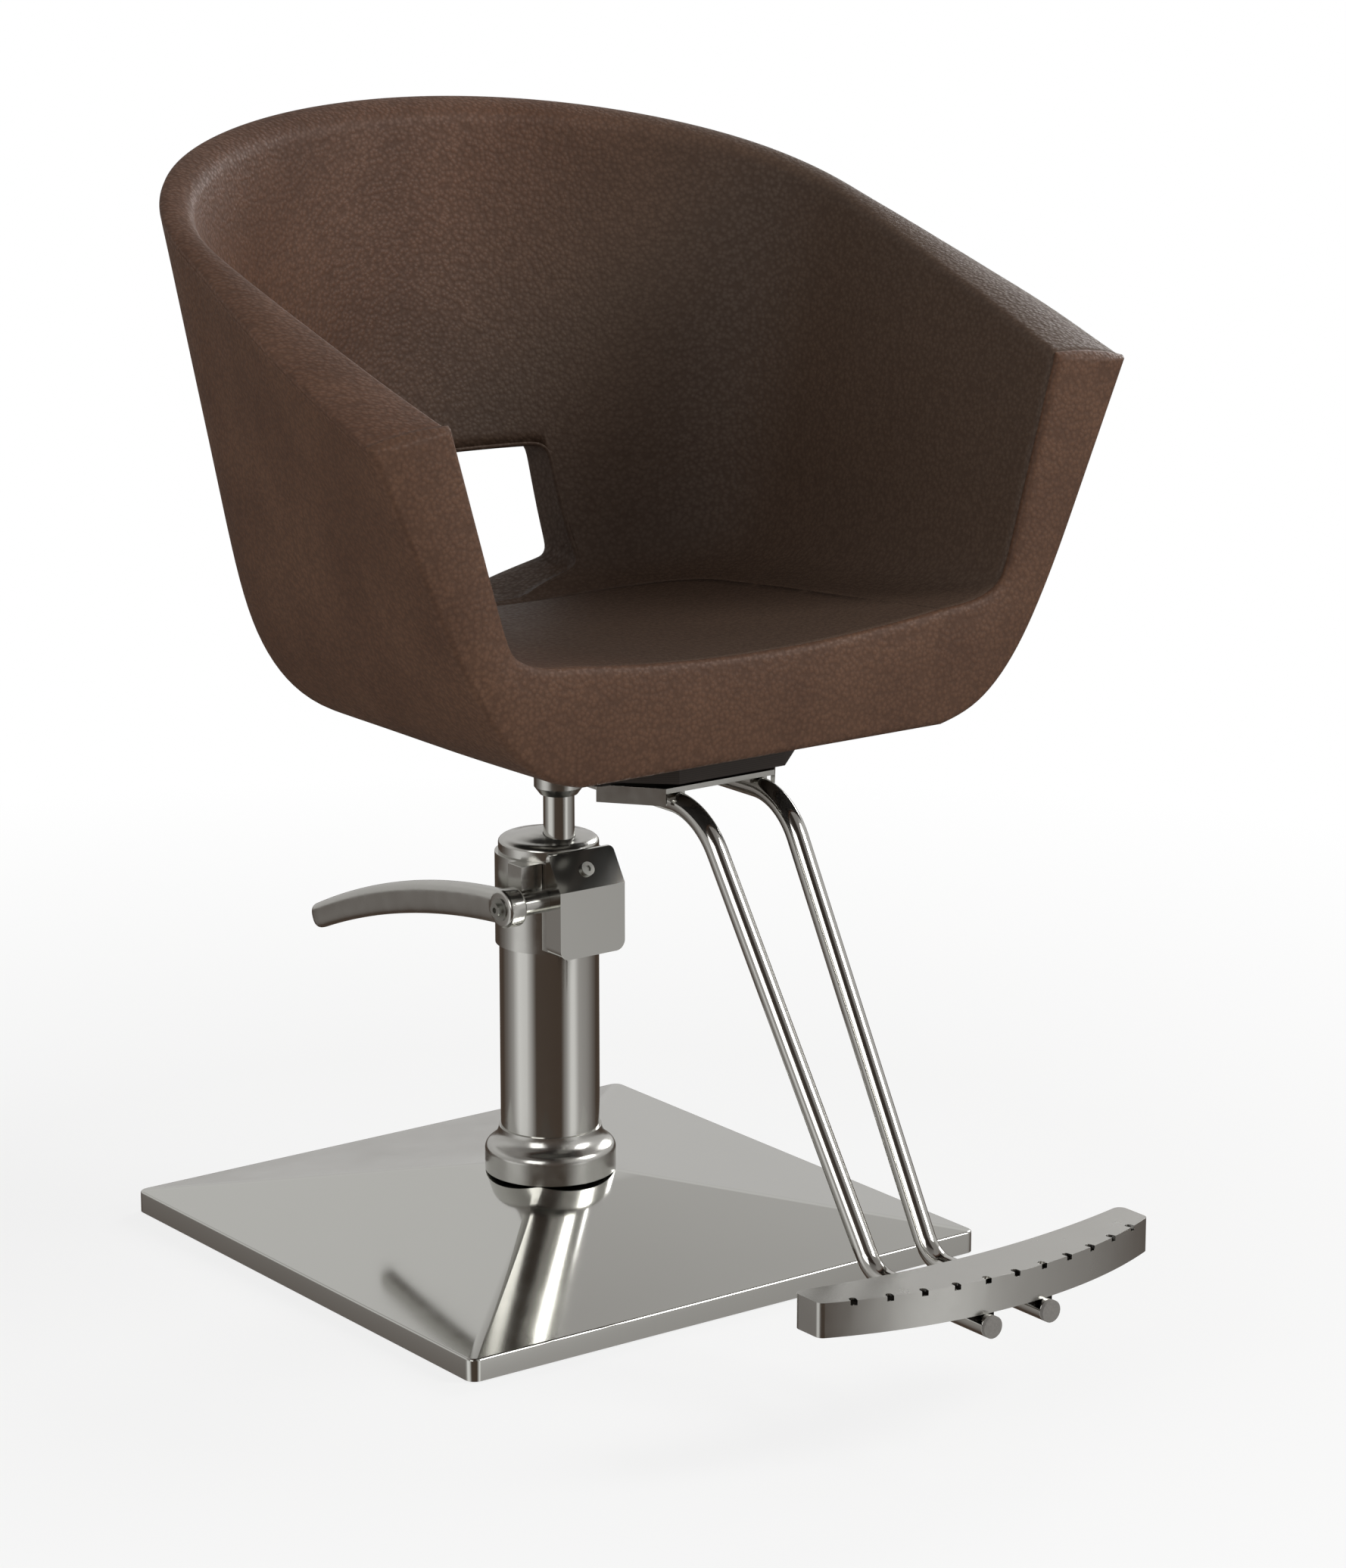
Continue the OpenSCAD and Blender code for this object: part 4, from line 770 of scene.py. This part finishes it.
def cutWindow():
    w = window
    outline, _ = windowOutline(grow=w["cutMargin"])
    points = [(x * mm, y * mm, z * mm) for y in (w["cutFront"], w["cutBack"]) for x, z in outline]
    count = len(outline)
    faces = [tuple(range(count)), tuple(range(2 * count - 1, count - 1, -1))]
    faces += [((k + 1) % count, k, count + k, count + (k + 1) % count) for k in range(count)]
    data = bpy.data.meshes.new("windowCutter")
    data.from_pydata(points, [], faces)
    turnFaces(data)
    cutter = newObject("windowCutter", data)
    for obj in (tubInside, tubOutside):
        useModifier(obj, "SOLIDIFY", thickness=tub["skin"] * mm)
        useModifier(obj, "BOOLEAN", object=cutter, operation="DIFFERENCE")
        applyModifiers(obj)
        shadeSmooth(obj.data)
    bpy.data.meshes.remove(data)        # takes the cutter with it


windowTrim = buildWindow()
cutWindow()
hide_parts("tub_lining", "seat_cushion")
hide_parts("outer_cover", "front_band")
print("window cut and trimmed")


# metalwork

# how hard edges are softened: welded corners in mm, turns in degrees
edges = {"weld": 0.004, "segments": 3, "turn": 32, "split": 34, "sharp": 60}

# in mm, as in the part's source
footrest = {
    "tubeRadius": 8, "tubeWall": 1.5, "topX": 37.5, "lowX": 26.25, "topZ": 396, "lowZ": 95,
    "heel": 111, "topCorner": 245, "lowCorner": 432, "toe": 558, "topBend": 60, "lowBend": 30,
    "sides": 48, "bendSteps": 20, "endBevel": 0.5, "bevelSegments": 2, "plateRadius": 365, "plateWall": 1.5,
}


def buildTube(name, side):
    # one closed skin along straight runs and arcs, leaning outwards; side is 1 for the sitter's left
    f = footrest
    drop = f["topZ"] - f["lowZ"]
    lean = atan((f["topX"] - f["lowX"]) / drop)
    tilt, flat = side * lean, drop / cos(lean)
    turn = atan2(flat, f["lowCorner"] - f["topCorner"])
    topEnd = f["topCorner"] - f["topBend"] * tan(turn / 2)
    lowEnd = f["lowCorner"] + f["lowBend"] * tan(turn / 2)
    path = [(-f["heel"], 0, 0)]
    turns = np.linspace(0, turn, f["bendSteps"] + 1)
    path += [(-topEnd - f["topBend"] * sin(a), f["topBend"] * (cos(a) - 1), a) for a in turns]
    path += [(f["lowBend"] * sin(a) - lowEnd, f["lowBend"] * (1 - cos(a)) - flat, a) for a in turns[::-1]]
    path.append((-f["toe"], -flat, 0))
    rings = []
    bore = f["tubeRadius"] - f["tubeWall"]
    for radius, route in ((f["tubeRadius"], path), (bore, path[::-1])):
        for y, z, a in route:
            ring = []
            for j in range(f["sides"]):
                b = 2 * pi * j / f["sides"]
                n = radius * sin(b)
                px, py, pz = radius * cos(b), y - n * sin(a), z + n * cos(a)
                ring.append((side * f["topX"] + px * cos(tilt) + pz * sin(tilt), py,
                             f["topZ"] - px * sin(tilt) + pz * cos(tilt)))
            rings.append(ring)
    obj = skinPiece(name, rings, tubeChrome, "seat")
    useModifier(obj, "BEVEL", width=f["endBevel"] * mm, segments=f["bevelSegments"],
                angle_limit=radians(edges["sharp"]), harden_normals=True)
    return obj


tubeLeft = buildTube("tubeLeft", 1)
tubeRight = buildTube("tubeRight", -1)
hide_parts("footrest_tube_left")
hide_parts("footrest_tube_right")
print("footrest tubes swept")

# the base cover, in mm: an upright rim, a rounded edge and a low pyramid round the pump
base = {
    "half": 235, "rim": 18, "lift": 1, "corner": 8, "bevel": 2, "topZ": 54, "topHalf": 36, "sheet": 1.5,
    "arcSteps": 8, "hip": 5, "rimLead": 2.6, "bevelSteps": 6, "slopeRings": 12,
    "boreHalf": 24, "boreCorner": 5, "underStep": 2,
}


def squareRing(half, corner, z, steps):
    # a level square with rounded corners
    ring = []
    for k in range(4):
        for j in range(steps + 1):
            a = radians(90) * (k + j / steps)
            cx = (half - corner) * (1 if k in (0, 3) else -1)
            cy = (half - corner) * (1 if k in (0, 1) else -1)
            ring.append((cx + corner * cos(a), cy + corner * sin(a), z))
    return ring


def buildCover():
    b = base
    steps = b["arcSteps"]
    rings = [squareRing(b["half"] - b["sheet"], b["corner"] - b["sheet"], b["lift"], steps),
             squareRing(b["half"], b["corner"], b["lift"], steps),
             squareRing(b["half"], b["corner"], b["rim"] - b["bevel"] - b["rimLead"], steps)]
    for k in range(1, b["bevelSteps"] + 1):
        a = radians(90 * k / b["bevelSteps"])
        inset = b["bevel"] * (1 - cos(a))
        z = b["rim"] - b["bevel"] * (1 - sin(a))
        rings.append(squareRing(b["half"] - inset, b["corner"] - inset, z, steps))
    edge = b["half"] - b["bevel"]
    for s in np.linspace(0, 1, b["slopeRings"])[1:]:
        half = edge + (b["topHalf"] - edge) * s
        corner = b["corner"] - b["bevel"] + (b["hip"] - b["corner"] + b["bevel"]) * s
        rings.append(squareRing(half, corner, b["rim"] + (b["topZ"] - b["rim"]) * s, steps))
    rings += [squareRing(b["boreHalf"], b["boreCorner"], b["topZ"], steps),
              squareRing(b["boreHalf"], b["boreCorner"], b["topZ"] - b["sheet"], steps),
              squareRing(b["topHalf"], b["hip"], b["topZ"] - b["sheet"], steps),
              squareRing(edge - b["underStep"], b["corner"] - b["bevel"], b["rim"] - b["sheet"], steps)]
    obj = skinPiece("coverPlate", rings, coverChrome, "base")
    useModifier(obj, "WEIGHTED_NORMAL")
    return obj


coverPlate = buildCover()
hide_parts("base_cover")
print("base cover built")

# the pedal lever: a bar with full round sides along a slow curve, and the eye that clasps its shaft;
# mm, degrees for the slope and the turns, shares of the length
lever = {
    "outerX": -70.5, "innerX": -54.5, "eyeY": -36, "eyeZ": 281, "eyeRadius": 15, "eyeHole": 5.3, "eyeEdge": 3,
    "half": 13.5, "tipHalf": 10, "bendRadius": 800, "slope": 4, "sweep": 20,
    "startShare": 0.03, "fullness": 2.6, "sideInset": 0.3, "steps": 36, "sides": 40,
    "tipRound": 7, "tipFlatness": 0.85, "tipSteps": 8, "eyeSides": 64, "eyeEdgeSteps": 5, "sharp": 38,
}


def leverRing(share, shrink):
    # an oval round the bar's middle line, which falls more steeply towards the tip
    v = lever
    start, angle = radians(v["slope"]), radians(v["slope"] + v["sweep"] * share)
    forward, fall = sin(angle) - sin(start), cos(start) - cos(angle)
    centre = np.array([(v["outerX"] + v["innerX"]) / 2, v["eyeY"] + v["bendRadius"] * forward,
                       v["eyeZ"] - v["bendRadius"] * fall])
    up = np.array([0, sin(angle), cos(angle)])
    tall = (v["half"] + (v["tipHalf"] - v["half"]) * share ** 2) - shrink
    wide = (v["innerX"] - v["outerX"]) / 2 - v["sideInset"] - shrink
    ring = []
    for k in range(v["sides"]):
        turn = 2 * pi * k / v["sides"]
        c, s = cos(turn), sin(turn)
        power = 2 / v["fullness"]
        ring.append(centre + np.array([wide * copysign(abs(c) ** power, c), 0, 0])
                    + up * tall * copysign(abs(s) ** power, s))
    return ring


def buildLever():
    v = lever
    length = v["bendRadius"] * radians(v["sweep"])
    body = 1 - v["tipRound"] / length
    rings = [leverRing(s, 0) for s in np.linspace(v["startShare"], body, v["steps"])]
    for k in range(1, v["tipSteps"]):
        a = radians(90) * k / v["tipSteps"]
        shrink = v["tipRound"] * (1 - cos(a)) * v["tipFlatness"]
        rings.append(leverRing(body + (1 - body) * sin(a), shrink))
    piece = skinPiece("pedalBar", rings, castChrome, "pedal", closed=False)

    half, edge = (v["innerX"] - v["outerX"]) / 2, v["eyeEdge"]
    profile = [(-half, v["eyeHole"])]
    for k in range(v["eyeEdgeSteps"] + 1):
        a = radians(90 * k / v["eyeEdgeSteps"])
        profile.append((-half + edge * (1 - cos(a)), v["eyeRadius"] - edge * (1 - sin(a))))
    profile += [(-x, r) for x, r in profile[::-1]]
    rings = []
    for k in range(v["eyeSides"]):
        a = 2 * pi * k / v["eyeSides"]
        rings.append([((v["outerX"] + v["innerX"]) / 2 + x, v["eyeY"] + r * cos(a),
                       v["eyeZ"] + r * sin(a)) for x, r in profile])
    eye = skinPiece("pedalEye", rings, castChrome, "pedal")
    useModifier(piece, "BOOLEAN", object=eye, operation="UNION")
    applyModifiers(piece)
    bpy.data.meshes.remove(eye.data)    # takes the eye with it
    shadeSmooth(piece.data)
    piece.data.set_sharp_from_angle(angle=radians(v["sharp"]))
    return piece


pedalBar = buildLever()
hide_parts("pedal_lever")
print("pedal lever built")

# the plunger's return spring, in mm, which shortens as the plunger rises
spring = {
    "y": -48, "lowZ": 286.05, "highZ": 293.55, "radius": 3.2, "wireRadius": 0.5,
    "turns": 3, "perTurn": 32, "sides": 10, "travel": 4.4,
}


def buildSpring():
    s = spring
    count = s["turns"] * s["perTurn"]
    rings = []
    for k in range(count + 1):
        a = 2 * pi * k / s["perTurn"]
        z = s["lowZ"] + s["wireRadius"] + (s["highZ"] - s["lowZ"] - 2 * s["wireRadius"]) * k / count
        ring = []
        for j in range(s["sides"]):
            b = 2 * pi * j / s["sides"]
            r = s["radius"] + s["wireRadius"] * cos(b)
            ring.append((r * cos(a), s["y"] + r * sin(a), z + s["wireRadius"] * sin(b)))
        rings.append(ring)
    coil = skinPiece("returnSpring", rings, turnedSteel, "base", closed=False)
    coil.data.set_sharp_from_angle(angle=radians(edges["sharp"]))
    return coil


returnSpring = buildSpring()
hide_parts("plunger_spring")
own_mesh(returnSpring)
print("return spring wound")

# solids that keep their own shape, by finish, bevel in mm, and the turn above which an edge is softened
finishes = {
    (castChrome, 0.8): "pump_head head_cap valve_block hub_socket", (castChrome, 0.7): "pump_flange",
    (castChrome, 0.6): "footrest_bracket", (coverChrome, 1.0, 28): "mechanism_cover",
    (tubeChrome, 0.3): "pump_cylinder ram", (treadChrome, 0.7): "footplate",
    (turnedSteel, 0.5): "pump_pillar", (turnedSteel, 0.2): "pressure_tube",
    (turnedSteel, 0.3): "pivot_shaft rocker_fork pump_plunger ram_piston",
    (zincScrew, 0.5): "pillar_bolts", (zincScrew, 0.4): "cover_screw plate_bolts bracket_bolts",
    (zincScrew, 0.3): "piston_nut", (zincScrew, 0.15): "pedal_screw",
    (bronzeBush, 0.4): "ram_gland", (bronzeBush, 0.3): "pump_barrel",
    (blackIron, 0.8): "ballast_plate seat_plate", (rubberGrey, 0.8): "tube_plugs",
    (rubberBlack, 0.5): "floor_pad", (rubberBlack, 0.3): "ram_seal", (rubberBlack, 0.2): "piston_ring",
    (plywood, 1.0): "mounting_board", (plywood, 0.6): "seat_pan", (plywood, 0): "tub_shell",
    (dustCloth, 0): "underside_cloth",
}


def finishSolid(solid, material, softening, turn=edges["turn"]):
    solid.data.materials.clear()
    solid.data.materials.append(material)
    shadeSmooth(solid.data)
    useModifier(solid, "WELD", merge_threshold=edges["weld"] * mm)
    if softening:
        useModifier(solid, "BEVEL", width=softening * mm, segments=edges["segments"],
                    angle_limit=radians(turn))
        useModifier(solid, "EDGE_SPLIT", split_angle=radians(edges["split"]), use_edge_sharp=False)
        useModifier(solid, "WEIGHTED_NORMAL")


finished = 0
for finish, names in finishes.items():
    for nodeName in names.split():
        finishSolid(cad[nodeName], *finish)
        finished += 1


def paintInsideShade():
    # painted shade: the faces inside the footplate's pressing take a dark metal, for the shadow in its hollow
    plate = cad["footplate"]
    plate.data.materials.append(paintedShadeMetal)
    low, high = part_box("footplate")
    radius, wall = footrest["plateRadius"] * mm, footrest["plateWall"] * mm
    place = plate.matrix_world
    for polygon in plate.data.polygons:
        x, y, z = place @ polygon.center
        front = low[1] + radius - sqrt(radius ** 2 - x * x)
        if abs(x) < high[0] - wall and z < high[2] - wall and y > front + wall:
            polygon.material_index = 1


paintInsideShade()
print("finishes on", finished, "solids")


# stage and light

# metres; the floor's shadow share runs out into plain white between two distances
studio = {
    "floorHalf": 6.0, "fade": (0.5, 1.5), "whiteShare": (0.80, 1.0), "paper": "#DADAD8",
    "skyForObject": 0.34,
    # brightness by compass direction in degrees, as polished metal shows it in the floor and over it
    "floorGlow": [
        (-180, 0.85), (-172, 0.55), (-157, 0.05), (-98, 0.04), (-84, 0.45), (-74, 0.95), (-66, 0.92),
        (-54, 0.45), (-30, 0.34), (-8, 0.16), (10, 0.04), (100, 0.04), (122, 0.18), (142, 0.40), (160, 0.95),
        (180, 0.85)],
    "walls": [(-180, 0.40), (-157, 0.08), (-98, 0.08), (-74, 0.80), (-40, 0.60), (20, 0.60), (110, 0.60),
              (160, 0.50), (180, 0.40)],
    "aloft": [(-180, 0.55), (-165, 0.45), (-150, 0.08), (-104, 0.08), (-86, 0.9), (130, 1.0), (180, 0.55)],
    "wallTop": [0.22, 0.40],                # sine of the height where the walls end
    "ceiling": [(0.45, 0.72), (0.54, 0.68), (0.60, 0.45), (0.72, 0.32), (1.0, 0.30)],
    "shade": (0.045, 0.022, 0.008),         # the dark parts are a warm brown
    "lamps": [
        # name, place, size, watts; each is white and looks at the tub
        ("keyLamp", (2.4, -2.6, 2.7), 1.4, 88),
        ("fillLamp", (-3.0, -1.4, 1.7), 1.8, 28),
        ("sideLamp", (3.2, 1.15, 1.85), 1.2, 44),
    ],
    "aim": (0, 0, 0.6),
}


def warmStops(stops):
    # a ramp's stops from positions and grey levels, warm where it is dark
    shade = studio["shade"]
    return [(position, [level + (1 - level) * part for part in shade] + [1]) for position, level in stops]


def turnStops(name):
    return warmStops([((angle + 180) / 360, level) for angle, level in studio[name]])


def tentColour(tree, direction, name):
    # white panels with dark gaps between them, under an even ceiling
    split = addNode(tree, "ShaderNodeSeparateXYZ", {"Vector": direction})
    x, y, z = (split.outputs[axis] for axis in "XYZ")
    angle = addNode(tree, "ShaderNodeMath", {0: y, 1: x}, operation="ARCTAN2").outputs[0]
    full = {"Value": angle, "From Min": -pi, "From Max": pi}
    turn = addNode(tree, "ShaderNodeMapRange", full).outputs[0]
    ramps = {"walls": (turn, turnStops(name)), "ceiling": (z, warmStops(studio["ceiling"])),
             "aloft": (turn, turnStops("aloft"))}
    shade = {part: addNode(tree, "ShaderNodeValToRGB", {"Fac": value}, stops=stops).outputs["Color"]
             for part, (value, stops) in ramps.items()}
    both = {0: 1.0, 6: shade["ceiling"], 7: shade["aloft"]}
    overhead = addNode(tree, "ShaderNodeMix", both, data_type="RGBA", blend_type="MULTIPLY").outputs[2]
    low, high = studio["wallTop"]
    height = addNode(tree, "ShaderNodeMapRange", {"Value": z, "From Min": low, "From Max": high}).outputs[0]
    parts = {0: height, 6: shade["walls"], 7: overhead}
    return addNode(tree, "ShaderNodeMix", parts, data_type="RGBA").outputs[2]


def seenRays(tree, path):
    # 1 for what the camera sees, straight or through a clear thing
    rays = {0: path.outputs["Is Camera Ray"], 1: path.outputs["Is Transmission Ray"]}
    return addNode(tree, "ShaderNodeMath", rays, operation="MAXIMUM").outputs[0]


def buildStage():
    data = bpy.data.meshes.new("studioFloor")
    h = studio["floorHalf"]
    data.from_pydata([(-h, -h, 0), (h, -h, 0), (h, h, 0), (-h, h, 0)], [], [(0, 1, 2, 3)])
    floor = newObject("studioFloor", data)
    material = bpy.data.materials.new("seamlessPaper")
    tree = emptyTree(material)
    geometry = addNode(tree, "ShaderNodeNewGeometry")
    far = addNode(tree, "ShaderNodeVectorMath", {0: geometry.outputs["Position"]}, operation="LENGTH")
    (near, away), (first, last) = studio["fade"], studio["whiteShare"]
    inputs = {"Value": far.outputs["Value"], "From Min": near, "From Max": away, "To Min": first,
              "To Max": last}
    fade = addNode(tree, "ShaderNodeMapRange", inputs).outputs[0]
    path = addNode(tree, "ShaderNodeLightPath")
    shares = {0: seenRays(tree, path), 1: fade}
    share = addNode(tree, "ShaderNodeMath", shares, operation="MULTIPLY").outputs[0]
    paper = addNode(tree, "ShaderNodeBsdfDiffuse", {"Color": srgb(studio["paper"])})
    glow = addNode(tree, "ShaderNodeEmission", {"Color": (1, 1, 1, 1)})
    plain = addNode(tree, "ShaderNodeMixShader", {0: share, 1: paper.outputs[0], 2: glow.outputs[0]})
    # metal sees the walls' colour in the floor as well
    turned = {0: geometry.outputs["Incoming"], 1: (-1, -1, -1)}
    onward = addNode(tree, "ShaderNodeVectorMath", turned, operation="MULTIPLY").outputs[0]
    tent = tentColour(tree, onward, "floorGlow")
    mirrored = addNode(tree, "ShaderNodeEmission", {"Color": tent}).outputs[0]
    rays = path.outputs["Is Glossy Ray"]
    both = addNode(tree, "ShaderNodeMixShader", {0: rays, 1: plain.outputs[0], 2: mirrored})
    addNode(tree, "ShaderNodeOutputMaterial", {"Surface": both.outputs[0]})
    data.materials.append(material)

    world = bpy.data.worlds.new("whiteStudio")
    bpy.context.scene.world = world
    tree = emptyTree(world)
    path = addNode(tree, "ShaderNodeLightPath")
    direction = addNode(tree, "ShaderNodeTexCoord").outputs["Generated"]
    plainSky = (studio["skyForObject"],) * 3 + (1,)
    glossy = {0: path.outputs["Is Glossy Ray"], 6: plainSky, 7: tentColour(tree, direction, "walls")}
    lit = addNode(tree, "ShaderNodeMix", glossy, data_type="RGBA").outputs[2]
    seen = {0: seenRays(tree, path), 6: lit, 7: (1, 1, 1, 1)}
    final = addNode(tree, "ShaderNodeMix", seen, data_type="RGBA").outputs[2]
    sky = addNode(tree, "ShaderNodeBackground", {"Color": final})
    addNode(tree, "ShaderNodeOutputWorld", {"Surface": sky.outputs[0]})

    for name, place, size, power in studio["lamps"]:
        lamp = bpy.data.lights.new(name, "AREA")
        lamp.shape, lamp.size, lamp.energy = "SQUARE", size, power
        obj = newObject(name, lamp)
        obj.location = place
        obj.rotation_euler = (Vector(studio["aim"]) - Vector(place)).to_track_quat("-Z", "Y").to_euler()


buildStage()
print("stage and lamps set")
